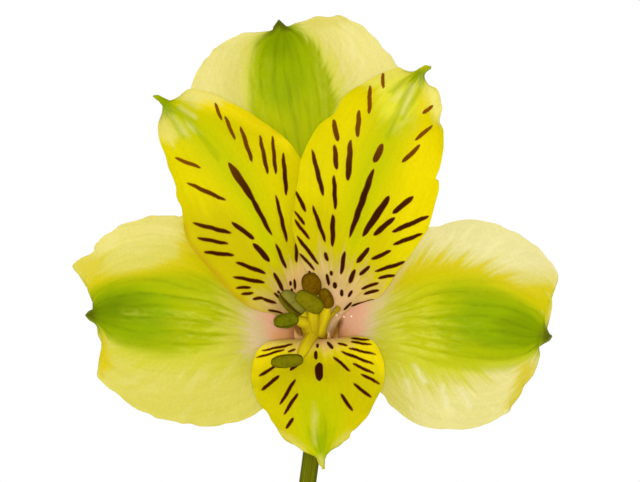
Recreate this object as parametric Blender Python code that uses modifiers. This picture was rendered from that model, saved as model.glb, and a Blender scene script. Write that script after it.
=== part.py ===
"""An alstroemeria bloom on its cut stem, standing in a plain glass bottle of water.

Metres, +Z up. The origin is at the middle of the bottle's foot, and the bloom faces -Y. Lists of points
are in millimetres in the bloom's own frame: right, up and forward of the middle of its throat.
"""

import math

import bmesh
import bpy
from mathutils import Matrix, Vector

MM = 0.001
GAP = 0.3 * MM  # kept between neighbouring pieces

# Bottle
BOTTLE_HEIGHT = 88 * MM
BODY_RADIUS = 21 * MM
NECK_RADIUS = 7.5 * MM
LIP_RADIUS = 8.7 * MM
LIP_HEIGHT = 4 * MM
WALL = 1.8 * MM
FLOOR = 4 * MM  # thickness of the glass under the water
FOOT_ROUND = 3 * MM
SHOULDER_BOTTOM = 54 * MM
SHOULDER_TOP = 72 * MM
WATER_LEVEL = 47 * MM
HOLE_OVERRUN = 8 * MM  # how far the cutter of the stem's hole passes the water's faces
TURNED_STEPS = 32

# Bloom
BLOOM = Vector((1.95, -24.0, 115.0)) * MM  # middle of the throat
BLOOM_TILT = math.radians(8)  # how far the bloom looks up
THROAT_BACK = Vector((0.0, -1.95, -13.9))  # where the petals and stamens leave the ovary
INNER_RING = 2.45
OUTER_RING = 3.6
CLAW_GAP = 0.55  # between the ovary's top and the claws
INNER_CLAW_SPREAD = 24  # degrees of the ring on each side of the claw's middle
OUTER_CLAW_SPREAD = 35
BLADE = 0.7 * MM
ROWS_PER_STATION = 2
BLADE_COLUMNS = 8
MUCRO_HALF_WIDTH = 0.3
RUFFLE = 0.5  # how far the waved edge stands out of the blade
RUFFLE_WAVES = 4

# Stem
STEM_RADIUS = 1.25 * MM
STEM_RESOLUTION = 5  # of the bevel
STEM_ASIDE = 0.35 * MM  # how far right of the bottle's middle it passes the mouth
LEAN = Vector((0.13, 0.13, 1.0)).normalized()  # the stem's line inside the bottle, from its foot up
OVARY_LENGTH = 9.0 * MM
OVARY_RADIUS = 4.3 * MM
OVARY_RIBS = 6
RIB_HEIGHT = 0.4 * MM
BEND_STEPS = 22
OVARY_STEPS = 8

# Stamens
FILAMENT_RADIUS = 0.5 * MM
FILAMENT_STEPS = 14
BUNDLE_RADIUS = 1.35

# Each petal: the clock angle of its claw, the ring that it stands on, and its stations from the claw
# to the tip. A station holds the edge on the anticlockwise side, the midrib and the other edge.
PETALS = {
    "outer_top": (90, OUTER_RING, (
        ((-1.5, 5.0, -9.9), (0.0, 5.0, -10.2), (1.5, 5.0, -9.9)),
        ((-3.4, 11.0, -6.9), (-0.3, 11.0, -7.8), (3.2, 11.0, -6.9)),
        ((-8.0, 18.0, -4.9), (-0.8, 18.0, -6.2), (6.8, 18.0, -4.9)),
        ((-13.6, 25.0, -4.0), (-1.5, 25.0, -5.2), (10.8, 25.0, -4.0)),
        ((-17.6, 31.0, -3.8), (-2.3, 31.5, -4.9), (13.0, 31.5, -3.8)),
        ((-18.8, 36.0, -4.0), (-3.0, 36.8, -4.9), (12.9, 37.2, -4.0)),
        ((-16.4, 40.6, -4.8), (-3.7, 40.8, -5.5), (9.6, 42.7, -4.7)),
        ((-12.2, 43.7, -5.8), (-4.3, 43.2, -6.3), (4.3, 46.7, -5.6)),
        ((-7.4, 44.3, -6.8), (-4.8, 44.5, -7.0), (-1.2, 46.3, -6.6)),
        ((-6.0, 45.0, -7.5), (-5.2, 45.1, -7.6), (-4.4, 45.2, -7.5)),
    ), (-5.6, 46.1, -8.6)),
    "outer_left": (205, OUTER_RING, (
        ((-3.0, -5.7, -9.0), (-4.9, -2.6, -9.4), (-4.5, 2.3, -10.0)),
        ((-4.8, -8.2, -5.4), (-8.0, -1.0, -5.6), (-7.4, 4.8, -6.0)),
        ((-8.2, -12.6, -2.8), (-13.0, 0.8, -2.6), (-12.2, 10.8, -3.6)),
        ((-14.0, -14.7, -1.2), (-18.0, 1.7, -1.2), (-17.2, 15.4, -2.6)),
        ((-20.4, -14.5, -0.2), (-23.4, 2.2, -0.8), (-23.0, 16.9, -1.8)),
        ((-26.8, -12.4, 0.2), (-27.6, 2.3, -1.0), (-28.4, 15.7, -1.4)),
        ((-31.8, -8.5, 0.0), (-30.6, 2.2, -1.4), (-33.2, 12.1, -1.4)),
        ((-32.5, -4.2, -0.6), (-32.2, 2.0, -1.8), (-36.2, 8.8, -1.6)),
        ((-32.8, -0.6, -1.6), (-33.0, 1.9, -2.3), (-34.0, 5.4, -2.0)),
        ((-33.6, 0.9, -2.6), (-33.7, 1.8, -2.8), (-33.6, 2.7, -2.7)),
    ), (-34.6, 1.7, -3.6)),
    "outer_right": (335, OUTER_RING, (
        ((4.5, 2.3, -10.0), (4.9, -2.6, -9.4), (3.0, -5.7, -9.0)),
        ((7.6, 5.2, -6.0), (8.0, -1.0, -5.6), (5.2, -8.2, -5.4)),
        ((11.2, 9.8, -3.6), (13.0, 0.4, -2.6), (9.4, -10.9, -2.8)),
        ((16.4, 14.4, -2.6), (18.0, 0.7, -1.2), (14.8, -14.4, -1.2)),
        ((22.5, 16.1, -1.8), (23.4, 0.4, -0.8), (20.8, -15.5, -0.2)),
        ((28.4, 15.0, -1.4), (27.8, -0.1, -1.0), (27.0, -14.0, 0.2)),
        ((33.4, 11.9, -1.4), (31.2, -0.7, -1.4), (30.9, -9.6, 0.0)),
        ((36.3, 7.5, -1.6), (33.0, -1.1, -1.8), (33.5, -5.2, -0.6)),
        ((35.2, 2.4, -2.0), (33.7, -1.3, -2.3), (33.5, -3.6, -1.6)),
        ((34.6, -0.6, -2.7), (34.4, -1.5, -2.8), (34.0, -2.3, -2.6)),
    ), (35.4, -1.5, -3.6)),
    "inner_left": (150, INNER_RING, (
        ((-3.8, 0.8, -8.4), (-2.9, 1.8, -8.6), (-1.7, 2.6, -8.6)),
        ((-7.2, 2.2, -2.8), (-4.0, 6.0, -4.0), (-1.2, 7.4, -4.4)),
        ((-11.5, 4.0, -0.6), (-5.4, 10.3, -1.4), (-0.2, 12.6, -2.6)),
        ((-16.0, 8.7, 0.8), (-7.6, 15.4, 0.5), (0.3, 18.4, -1.6)),
        ((-19.6, 13.8, 1.6), (-10.2, 20.0, 1.7), (-0.6, 23.2, -1.0)),
        ((-21.0, 20.0, 2.0), (-13.0, 24.3, 2.4), (-3.7, 27.3, -0.4)),
        ((-22.8, 26.2, 2.0), (-16.3, 28.2, 2.6), (-8.5, 30.8, 0.2)),
        ((-23.7, 30.2, 1.6), (-19.6, 31.4, 2.2), (-14.4, 34.1, 0.6)),
        ((-23.3, 32.3, 1.0), (-21.8, 32.9, 1.4), (-19.6, 34.8, 0.7)),
        ((-23.1, 33.2, 0.6), (-22.6, 33.6, 0.8), (-22.0, 34.0, 0.5)),
    ), (-24.3, 34.7, -0.2)),
    "inner_right": (30, INNER_RING, (
        ((1.7, 2.6, -8.4), (2.9, 1.8, -8.6), (3.7, 1.0, -8.4)),
        ((-0.6, 6.9, -2.4), (3.6, 6.0, -3.8), (7.2, 3.3, -2.8)),
        ((-2.5, 11.0, 0.0), (4.3, 10.3, -1.2), (11.2, 6.6, -0.6)),
        ((-3.6, 15.8, 1.6), (5.6, 15.4, 0.9), (15.2, 12.3, 0.8)),
        ((-3.1, 20.6, 2.6), (7.2, 20.0, 2.4), (17.6, 17.6, 1.6)),
        ((-2.2, 25.2, 3.0), (9.0, 24.5, 3.3), (18.3, 22.8, 2.2)),
        ((0.9, 30.7, 2.8), (11.2, 29.3, 3.6), (19.1, 28.4, 2.4)),
        ((6.2, 36.0, 1.8), (13.7, 33.9, 3.2), (18.7, 33.8, 2.0)),
        ((13.0, 38.5, 1.2), (15.3, 36.7, 2.2), (17.2, 36.1, 1.6)),
        ((15.5, 38.5, 0.9), (15.9, 38.1, 1.2), (16.2, 37.7, 1.0)),
    ), (17.2, 39.0, 0.4)),
    "inner_bottom": (270, INNER_RING, (
        ((1.8, -3.9, -9.0), (0.0, -4.4, -9.2), (-1.8, -3.9, -9.0)),
        ((3.8, -2.4, -4.4), (0.1, -3.95, -5.2), (-3.6, -2.5, -4.4)),
        ((7.6, -1.6, -0.4), (0.3, -4.0, -1.4), (-7.0, -2.1, -0.4)),
        ((10.0, -4.6, 1.6), (0.4, -6.2, 1.6), (-9.4, -5.2, 1.6)),
        ((10.1, -8.8, 3.4), (0.5, -9.8, 4.0), (-9.5, -9.2, 3.4)),
        ((8.2, -12.7, 4.9), (0.7, -13.4, 5.7), (-7.5, -12.8, 4.9)),
        ((4.7, -16.7, 6.2), (0.8, -16.6, 6.9), (-4.6, -16.9, 6.2)),
        ((2.0, -18.5, 6.9), (0.9, -18.5, 7.4), (-1.2, -18.9, 6.9)),
        ((1.3, -19.5, 7.3), (1.0, -19.6, 7.4), (0.4, -19.8, 7.2)),
    ), (1.1, -20.9, 7.5)),
}

# Each stamen: its place in the bundle (None is the middle), the way of its filament after the bundle,
# the two ends of its anther, the anther's width, and how far along it the filament enters.
STAMENS = {
    "stamen_1": (210, ((-1.8, -1.3, -1.6), (-2.6, -0.2, 1.4)),
                 (-2.9, 1.0, 3.9), (-6.3, 0.9, 4.1), 2.1, 0.25),
    "stamen_2": (150, ((-1.5, 0.2, -1.6), (-1.8, 1.3, 0.4)),
                 (-2.2, 2.0, 1.7), (-5.1, 5.0, 1.8), 2.6, 0.25),
    "stamen_3": (None, ((-0.5, -0.9, -1.8), (-0.6, 0.6, 1.6)),
                 (1.1, 3.3, 5.3), (-3.1, 4.3, 5.5), 2.6, 0.5),
    "stamen_4": (90, ((-0.4, 1.0, -1.8), (-0.5, 3.2, 0.2)),
                 (-0.5, 4.9, 1.2), (-0.9, 8.1, 1.8), 2.6, 0.25),
    "stamen_5": (30, ((0.7, 0.0, -1.8), (0.9, 1.5, 0.7)),
                 (1.1, 2.8, 2.4), (2.0, 5.8, 2.8), 2.0, 0.25),
    "stamen_6": (270, ((-0.5, -2.3, -1.2), (-1.2, -2.5, 1.8)),
                 (-2.0, -4.7, 4.4), (-6.6, -5.2, 4.6), 1.9, 0.25),
}
STYLE = (330, ((1.3, -1.6, -2.2), (2.1, 0.3, -1.0), (3.1, 2.6, -0.2)))
STIGMA_RADIUS = 0.65 * MM
BUNDLE = ((0.0, -1.95, -13.2), (-0.1, -1.8, -9.0), (-0.35, -1.35, -5.0))  # middle of the filaments


def in_world(point):
    """A point of the bloom's frame, in millimetres, as a place in the world."""
    right, up, forward = point
    return BLOOM + Vector((right, -forward, up)) * MM


def on_ovary(radius, angle):
    """A point of the bloom's frame on a ring over the ovary's flat top."""
    turn = math.radians(angle)
    rise, lean = math.cos(BLOOM_TILT), math.sin(BLOOM_TILT)
    across = Vector((math.cos(turn), math.sin(turn) * rise, -math.sin(turn) * lean))
    return THROAT_BACK + radius * across + CLAW_GAP * Vector((0.0, lean, rise))


def smooth(points, t):
    """The point at t, from 0 to 1, of a Catmull-Rom curve through the points."""
    place = t * (len(points) - 1)
    i = min(int(place), len(points) - 2)
    f = place - i
    p1, p2 = points[i], points[i + 1]
    p0 = points[i - 1] if i > 0 else p1 * 2 - p2
    p3 = points[i + 2] if i + 2 < len(points) else p2 * 2 - p1
    return 0.5 * (p1 * 2 + (p2 - p0) * f + (p0 * 2 - p1 * 5 + p2 * 4 - p3) * f ** 2
                  + (p1 * 3 - p0 - p2 * 3 + p3) * f ** 3)


def collection(name):
    found = bpy.data.collections.get(name)
    if not found:
        found = bpy.data.collections.new(name)
        bpy.context.scene.collection.children.link(found)
    return found


def finish(name, colour, roughness, transmission=0.0, alpha=1.0):
    """A plain material with the piece's colour."""
    material = bpy.data.materials.new(name)
    material.use_nodes = True
    shader = material.node_tree.nodes["Principled BSDF"]
    shader.inputs["Base Color"].default_value = (*colour, 1.0)
    shader.inputs["Roughness"].default_value = roughness
    shader.inputs["Metallic"].default_value = 0.0
    shader.inputs["Transmission Weight"].default_value = transmission
    shader.inputs["Alpha"].default_value = alpha
    return material


def new_object(name, mesh, material, where="alstroemeria in a bottle"):
    thing = bpy.data.objects.new(name, mesh)
    collection(where).objects.link(thing)
    thing.data.materials.clear()
    thing.data.materials.append(material)
    return thing


def mesh_of(bm, name):
    bmesh.ops.recalc_face_normals(bm, faces=bm.faces)
    mesh = bpy.data.meshes.new(name)
    bm.to_mesh(mesh)
    bm.free()
    mesh.shade_smooth()
    return mesh


def turned(name, profile, material):
    """A body turned about Z from a profile that runs down its outer side."""
    mesh = bpy.data.meshes.new(name)
    mesh.from_pydata([(r, 0.0, z) for r, z in profile], [(i, i + 1) for i in range(len(profile) - 1)], [])
    body = new_object(name, mesh, material)
    screw = body.modifiers.new("Screw", "SCREW")
    screw.steps = screw.render_steps = TURNED_STEPS
    screw.use_merge_vertices = True
    screw.merge_threshold = 0.00001
    screw.use_smooth_shade = True
    return body


def arc(centre, radius, start, end, steps):
    """Points (r, z) of a round stretch of a profile, angles in degrees."""
    angles = [math.radians(start + (end - start) * i / steps) for i in range(steps + 1)]
    return [(centre[0] + radius * math.cos(a), centre[1] + radius * math.sin(a)) for a in angles]


def shoulder(body, neck, bottom, top, steps=7):
    """Points (r, z) of the sloping stretch between the neck and the body, from the neck down."""
    points = []
    for i in range(steps + 1):
        t = i / steps
        ease = t * t * (3 - 2 * t)
        points.append((neck + (body - neck) * ease, top + (bottom - top) * t))
    return points


def bottle():
    lip_round = LIP_HEIGHT / 2
    inner_body, inner_neck = BODY_RADIUS - WALL, NECK_RADIUS - WALL
    inner_round = FOOT_ROUND - WALL / 2
    mouth_round = 0.6 * MM
    outer = arc((LIP_RADIUS - lip_round, BOTTLE_HEIGHT - lip_round), lip_round, 90, -90, 6)
    outer += shoulder(BODY_RADIUS, NECK_RADIUS, SHOULDER_BOTTOM, SHOULDER_TOP)
    outer += arc((BODY_RADIUS - FOOT_ROUND, FOOT_ROUND), FOOT_ROUND, 0, -90, 4)
    inner = arc((inner_body - inner_round, FLOOR + inner_round), inner_round, -90, 0, 3)
    inner += reversed(shoulder(inner_body, inner_neck, SHOULDER_BOTTOM - WALL / 2, SHOULDER_TOP - WALL / 2))
    inner += arc((inner_neck + mouth_round, BOTTLE_HEIGHT - mouth_round), mouth_round, 180, 90, 3)
    profile = outer + [(0.0, 0.0), (0.0, FLOOR)] + inner
    profile.append(outer[0])
    return turned("bottle", profile, finish("clear glass", (0.93, 0.96, 0.95), 0.03, 0.9, 0.35))


def stem_line(height):
    """The point at a height on the stem's straight run, which leans on the back of the bottle's mouth."""
    reach = NECK_RADIUS - WALL - STEM_RADIUS - GAP
    at_mouth = Vector((STEM_ASIDE, reach - 0.05 * MM, BOTTLE_HEIGHT))
    return at_mouth + LEAN * ((height - BOTTLE_HEIGHT) / LEAN.z)


def tube(name, points, radius, resolution, radii=None):
    """A closed mesh of the tube that follows the points."""
    curve = bpy.data.curves.new(name, "CURVE")
    curve.dimensions = "3D"
    curve.bevel_depth = radius
    curve.bevel_resolution = resolution
    curve.use_fill_caps = True
    curve.render_resolution_u = 0
    spline = curve.splines.new("POLY")
    spline.points.add(len(points) - 1)
    for i, point in enumerate(points):
        spline.points[i].co = (*point, 1.0)
        spline.points[i].radius = radii[i] if radii else 1.0
    guide = bpy.data.objects.new(name + " line", curve)
    bpy.context.scene.collection.objects.link(guide)
    bpy.context.view_layer.update()
    mesh = bpy.data.meshes.new_from_object(guide.evaluated_get(bpy.context.evaluated_depsgraph_get()))
    bpy.data.objects.remove(guide)
    bpy.data.curves.remove(curve)
    bm = bmesh.new()
    bm.from_mesh(mesh)
    bpy.data.meshes.remove(mesh)
    bmesh.ops.remove_doubles(bm, verts=bm.verts, dist=1e-6)
    return mesh_of(bm, name)


def water():
    radius, round_foot = BODY_RADIUS - WALL - GAP, FOOT_ROUND - WALL / 2
    bottom = FLOOR + GAP
    profile = [(0.0, WATER_LEVEL), (radius, WATER_LEVEL)]
    profile += arc((radius - round_foot, bottom + round_foot), round_foot, 0, -90, 3)
    profile.append((0.0, bottom))
    body = turned("water", profile, finish("water", (0.9, 0.95, 0.93), 0.02, 0.9, 0.3))
    ends = [stem_line(-HOLE_OVERRUN), stem_line(WATER_LEVEL + HOLE_OVERRUN)]
    hole_mesh = tube("stem hole", ends, STEM_RADIUS + GAP, STEM_RESOLUTION)
    hole = new_object("stem hole", hole_mesh, finish("guide", (0.5, 0.5, 0.5), 0.5), "cutters")
    hole.hide_render = True
    hole.display_type = "WIRE"
    cut = body.modifiers.new("stem hole", "BOOLEAN")
    cut.operation = "DIFFERENCE"
    cut.object = hole
    return body


def stem():
    """The stalk and, grown to its top, the ribbed ovary that carries the petals."""
    facing = Vector((0.0, -math.cos(BLOOM_TILT), math.sin(BLOOM_TILT)))
    base = in_world(THROAT_BACK) - facing * OVARY_LENGTH
    straight = [stem_line(FLOOR + GAP + STEM_RADIUS / 4), stem_line(BOTTLE_HEIGHT / 2)]
    leaving = stem_line(BOTTLE_HEIGHT + 9 * MM)
    bend = [stem_line(BOTTLE_HEIGHT), leaving, leaving + Vector((0.6, 0.6, 6.5)) * MM,
            base + Vector((0.0, 5.6, -3.6)) * MM, base + Vector((0.0, 3.3, -1.0)) * MM, base]
    line = straight + [smooth(bend, i / BEND_STEPS) for i in range(BEND_STEPS + 1)]
    radii = [1.0] * len(line)
    for i in range(1, OVARY_STEPS + 1):
        t = i / OVARY_STEPS
        line.append(base + facing * OVARY_LENGTH * t)
        swell = math.sin(min(1.0, t * 1.12) * math.pi / 2) ** 1.3
        radii.append(1 + (OVARY_RADIUS / STEM_RADIUS - 1) * swell)
    mesh = tube("stem", line, STEM_RADIUS, STEM_RESOLUTION, radii)
    side = Vector((1.0, 0.0, 0.0))
    over = facing.cross(side)
    for vertex in mesh.vertices:
        out = vertex.co - base
        along = out.dot(facing) / OVARY_LENGTH
        across = out - facing * out.dot(facing)
        if 0.05 < along < 1.05 and STEM_RADIUS * 0.9 < across.length < OVARY_RADIUS * 1.3:
            angle = math.atan2(across.dot(over), across.dot(side))
            rise = RIB_HEIGHT * math.sin(min(1.0, along) * math.pi) * math.cos(OVARY_RIBS * angle)
            vertex.co += across.normalized() * rise
    return new_object("stem", mesh, finish("stem green", (0.12, 0.15, 0.02), 0.5))


def petal(name, angle, ring, stations, tip):
    """A blade swept through its stations: Catmull-Rom from the claw to the tip, an arch across."""
    spread = OUTER_CLAW_SPREAD if ring == OUTER_RING else INNER_CLAW_SPREAD
    pull = (Vector(stations[-1][0]) - Vector(stations[-1][2])).normalized() * MUCRO_HALF_WIDTH
    end = Vector(tip)
    rows = [tuple(on_ovary(ring, angle + turn) for turn in (spread, 0, -spread))]
    rows += [tuple(Vector(p) for p in station) for station in stations]
    rows.append((end + pull, end, end - pull))
    lines = [[row[k] for row in rows] for k in range(3)]
    steps = ROWS_PER_STATION * (len(rows) - 1)
    bm = bmesh.new()
    bmesh.ops.create_grid(bm, x_segments=BLADE_COLUMNS, y_segments=steps, size=1.0)
    for vertex in bm.verts:
        v, u = vertex.co.x, (vertex.co.y + 1) / 2
        first, rib, last = (smooth(line, u) for line in lines)
        spot = rib + (last - first) * v / 2 + ((first + last) / 2 - rib) * v * v
        wave = math.sin(2 * math.pi * RUFFLE_WAVES * u + angle + 2 * v)
        spot.z += RUFFLE * wave * abs(v) ** 3 * math.sin(math.pi * u) ** 2
        vertex.co = in_world(spot)
    bmesh.ops.triangulate(bm, faces=bm.faces)
    colour = (0.62, 0.60, 0.10) if ring == OUTER_RING else (0.68, 0.58, 0.05)
    blade = new_object(name, mesh_of(bm, name), finish(name, colour, 0.5))
    thick = blade.modifiers.new("thickness", "SOLIDIFY")
    thick.thickness = BLADE
    thick.offset = 0.0
    return blade


def anther(first, last, width):
    """A grooved ellipsoid between two points."""
    start, end = in_world(first), in_world(last)
    along = end - start
    turn = along.to_track_quat("Z", "Y").to_matrix().to_4x4()
    bm = bmesh.new()
    bmesh.ops.create_uvsphere(bm, u_segments=12, v_segments=7, radius=1.0)
    for vertex in bm.verts:
        angle = math.atan2(vertex.co.y, vertex.co.x)
        groove = 1 - 0.16 * math.cos(angle) ** 8
        vertex.co.x *= groove * width * MM / 2
        vertex.co.y *= groove * width * MM / 2
        vertex.co.z *= along.length / 2
    bmesh.ops.transform(bm, matrix=Matrix.Translation((start + end) / 2) @ turn, verts=bm.verts)
    return mesh_of(bm, "anther")


def filament(name, place, way):
    """A thread that rises in the bundle and then goes its own way."""
    points = []
    if place is None:
        points += [Vector(p) for p in BUNDLE]
    else:
        turn = math.radians(place)
        offset = Vector((math.cos(turn), math.sin(turn), 0.0)) * BUNDLE_RADIUS
        points += [Vector(p) + offset for p in BUNDLE]
    points += [Vector(p) for p in way]
    line = [in_world(smooth(points, i / FILAMENT_STEPS)) for i in range(FILAMENT_STEPS + 1)]
    return tube(name, line, FILAMENT_RADIUS, 1)


def grown_together(name, meshes, material):
    """One body from meshes that run into each other."""
    whole = new_object(name, meshes[0], material)
    for i, mesh in enumerate(meshes[1:]):
        other = new_object(f"{name} joined {i}", mesh, material, "cutters")
        join = whole.modifiers.new("join", "BOOLEAN")
        join.operation = "UNION"
        join.object = other
        other.hide_render = True
        other.display_type = "WIRE"
    return whole


def stamens():
    for name, (place, way, first, last, width, entry) in STAMENS.items():
        thread = filament(name, place, (*way, Vector(first).lerp(Vector(last), entry)))
        grown_together(name, [thread, anther(first, last, width)], finish(name, (0.42, 0.30, 0.02), 0.7))


def style():
    place, way = STYLE
    thread = filament("style", place, way)
    end = Vector(way[-1])
    bulb = anther(end - Vector((0.3, 0.6, 0.2)), end + Vector((0.3, 0.6, 0.3)), STIGMA_RADIUS * 2 / MM)
    grown_together("style", [thread, bulb], finish("style", (0.55, 0.50, 0.08), 0.6))


def main():
    for thing in list(bpy.data.objects):
        bpy.data.objects.remove(thing)
    bottle()
    water()
    stem()
    for name, (angle, ring, stations, tip) in PETALS.items():
        petal(name, angle, ring, stations, tip)
    stamens()
    style()


main()
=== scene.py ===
"""The looks of an alstroemeria bloom on its cut stem, in a small glass bottle of water.

Lists of points are in millimetres in the bloom's own frame, as in the part's source: right, up and
forward of the middle of the throat. Outlines and markings hold only right and up, as the front view
shows them at the throat's distance, so each point of a petal is compared with them along its line of
sight. Stations and outlines are flat rows of numbers: three for each point in space, two for each
point as seen.
"""

import math

import bpy
import numpy as np
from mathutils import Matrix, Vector
from mathutils.bvhtree import BVHTree

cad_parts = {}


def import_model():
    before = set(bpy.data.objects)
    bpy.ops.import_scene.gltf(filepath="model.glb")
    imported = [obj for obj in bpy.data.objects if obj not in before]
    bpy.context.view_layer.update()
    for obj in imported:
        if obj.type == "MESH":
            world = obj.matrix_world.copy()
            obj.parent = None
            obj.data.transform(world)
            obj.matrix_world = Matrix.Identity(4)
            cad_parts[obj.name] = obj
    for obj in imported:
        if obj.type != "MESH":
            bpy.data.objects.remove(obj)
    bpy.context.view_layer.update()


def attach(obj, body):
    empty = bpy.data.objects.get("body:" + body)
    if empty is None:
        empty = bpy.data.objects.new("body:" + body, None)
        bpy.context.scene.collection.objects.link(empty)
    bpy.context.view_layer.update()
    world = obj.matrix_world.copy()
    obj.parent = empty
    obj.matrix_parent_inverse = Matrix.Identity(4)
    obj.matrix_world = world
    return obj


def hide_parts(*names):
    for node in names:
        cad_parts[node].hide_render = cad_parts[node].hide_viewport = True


MM = 0.001

# Bottle and water, as in the part's source
BOTTLE_HEIGHT = 88.0
BODY_RADIUS = 21.0
NECK_RADIUS = 7.5
LIP_RADIUS = 8.7
LIP_HEIGHT = 4.0
WALL = 1.8
FLOOR = 4.0
FOOT_ROUND = 3.0
SHOULDER_BOTTOM = 54.0
SHOULDER_TOP = 72.0
WATER_LEVEL = 47.0
GAP = 0.3

# Their finer forms
FOOT_DISH = 0.4  # how far the middle of the foot is dished, as on blown bottles
DISH_RADIUS = 15.0
DISH_POWER = 3  # how flat the dish is in its middle
MOUTH_ROUND = 0.6
TURNED_STEPS = 112
MENISCUS = 0.7  # how far the water climbs the glass
MENISCUS_REACH = 0.9  # over which the water's raised edge falls away
MENISCUS_STEPS = (0, 0.15, 0.4, 0.8, 1.4, 2.4, 4)  # from the glass
MIDDLE_RING = 0.4  # the last ring of the water's top, as a share of its radius
WATER_CLEAR = 0.02  # between the water and the glass

# Bloom, as in the part's source
BLOOM = np.array((1.95, -24.0, 115.0))
BLOOM_TILT = math.radians(8)
THROAT_BACK = np.array((0.0, -1.95, -13.9))
INNER_RING = 2.45  # the radius on which the inner petals' claws stand
OUTER_RING = 3.6  # and that of the outer ones
CLAW_GAP = 0.1  # between the claws and the ovary's top
CLAW_SPREAD = {INNER_RING: 24, OUTER_RING: 35}  # degrees to each side of the claw's middle
SIGHT = 600.0  # from the camera to the throat
VIEW_MIDDLE = np.array((0.6, 12.9))

# Petals' finer forms
TIP_HALF = 0.12  # half the width of the very tip
EVEN = 0.8  # how evenly the rows of a blade are spaced, against even steps of u
RUN_SAMPLES = 1200
OUTLINE_SAMPLES = 16  # for each point of an outline
RUFFLE = 0.5  # the slow waves of the margin
RUFFLE_WAVES = 4
FRILL = 0.16  # the finer waves of the margin
FRILL_WAVES = 13
FRILL_BEAT = 5.3  # waves over which the frill swells and fades
RUFFLE_LAG, FRILL_LAG = 2, 3  # radians by which the waves shift from the midrib to a margin
RUFFLE_POWER, FRILL_POWER = 3, 8  # how close to the margin they stay
EDGE_POWER = 4  # how fast a fine outline's shift fades away from the margin
OUTLINE_FADE = 5.0  # over which an outline's shift fades where its hidden part starts
PETAL_THICK = 0.42
MARGIN_THICK = 0.16
MARGIN_POWER = 5  # how close to the margin a blade thins out
CLAW_THICKER = 0.6  # how much thicker a blade is at its claw
RIM_ANGLE = math.radians(50)  # sharper edges than this, as round the rim, stay sharp
VEIN_SPREAD = 0.5  # how much of the veins' fan runs out at the margins on the way to the tip
GRIDS = {"outer_top": (190, 120), "outer_left": (200, 130), "outer_right": (200, 130),
         "inner_left": (260, 120), "inner_right": (260, 126), "inner_bottom": (170, 120)}

# Petals' markings
WOBBLE = 0.035  # how far the edges of the streaks wander
WOBBLE_RATE = 2.6  # radians for each millimetre
STREAK_SWELL = 1.17  # a streak's middle against its given width
STREAK_TAPER = (3.4, 0.65)  # how blunt its ends are
VEIN_WAVES = ((4.3, 0.35), (2.1, 0.3), (1.1, 0.35))  # the length and share of each wave across veins
PETAL_PHASE, WAVE_PHASE = 1.7, 5  # radians from petal to petal, and for each millimetre of length
STROKE_RATE = 1.6  # how much closer satin strokes are than veins
STROKE_SEED = 5  # sets their waves off from the veins'
SIDES_APART = 40.0  # keeps the satin strokes of a petal's two sides from being alike
SEED_STEP = 3.7  # how far apart the petals' patterns are
VEIN_GAP = 1.5  # from vein to vein
VEINED = 0.6  # how dark the veins are where a petal is green
VEINED_PALE = 0.15  # the share of it where a petal isn't green
RED_FROM = (0.0, 3.0)  # the streaks are redder the further they are from here
RED_RANGE = (18, 34)  # from none to all of it
PIGMENT = 0.85  # share of light that the strongest colours throw back
THROUGH = 0.3  # the share of light that a petal lets through

# Stem, stamens and style, as in the part's source
STEM_RADIUS = 1.25
STEM_ASIDE = 0.35  # how far right of the bottle's axis the stem leaves the mouth
STEM_FREE = 0.05  # more room between the stem and the neck than the gap
LEAN = np.array((0.13, 0.13, 1.0)) / math.sqrt(0.13 ** 2 + 0.13 ** 2 + 1.0)
OVARY_LENGTH = 9.0
OVARY_RADIUS = 4.3
OVARY_RIBS = 6
# The bend starts this far above the mouth, and goes on by points off that place, then off the ovary.
BEND_FROM = 9.0
BEND = ((0.6, 0.6, 6.5), (0.0, 5.6, -3.6), (0.0, 3.3, -1.0))
FILAMENT_RADIUS = 0.5
BUNDLE_RADIUS = 0.85  # from the middle filament to the others

# Their finer forms
STALK_RADIUS = 1.32  # to the ridges' crests
STALK_RIDGES = 12
RIDGE = 0.022  # the ridges' height, as a share of the radius
RIB_HEIGHT = 0.4
STEM_SIDES = 72
STALK_STEPS = 40
BEND_STEPS = 70
OVARY_STEPS = 40
OVARY_SWELL = (1.12, 1.3)  # how soon and how roundly the stalk widens into it
TOP_RINGS = 22
TOP_DOME = 0.15  # how far the ovary's top bulges
CUT_RIM = 0.7  # how pale the cut end is at its rim
NECTARY_FROM = 0.75  # the share of the ovary's length from which it has the throat's colour
MARK_EDGE = (0.25, -0.1)  # the distances over which a brown mark of painted shade sets in
WET_FADE = 12  # millimetres above and below the water over which the stalk changes colour
THREAD_STEPS = 46
THREAD_SIDES = 20
THREAD_SPAN, STALK_SPAN = 4, 12  # how wide the stripes' pattern is halfway round
# A filament's thickness at its root, as a multiple of its radius, what it loses on the way, what it
# loses again at its anther, and from where.
FILAMENT_TAPER = (2.0, 0.3, 0.8, 0.86)
STYLE_TAPER = 0.35  # how much thinner the style is at its end
POLE = 0.02  # radians between an anther's end and its first ring
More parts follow.
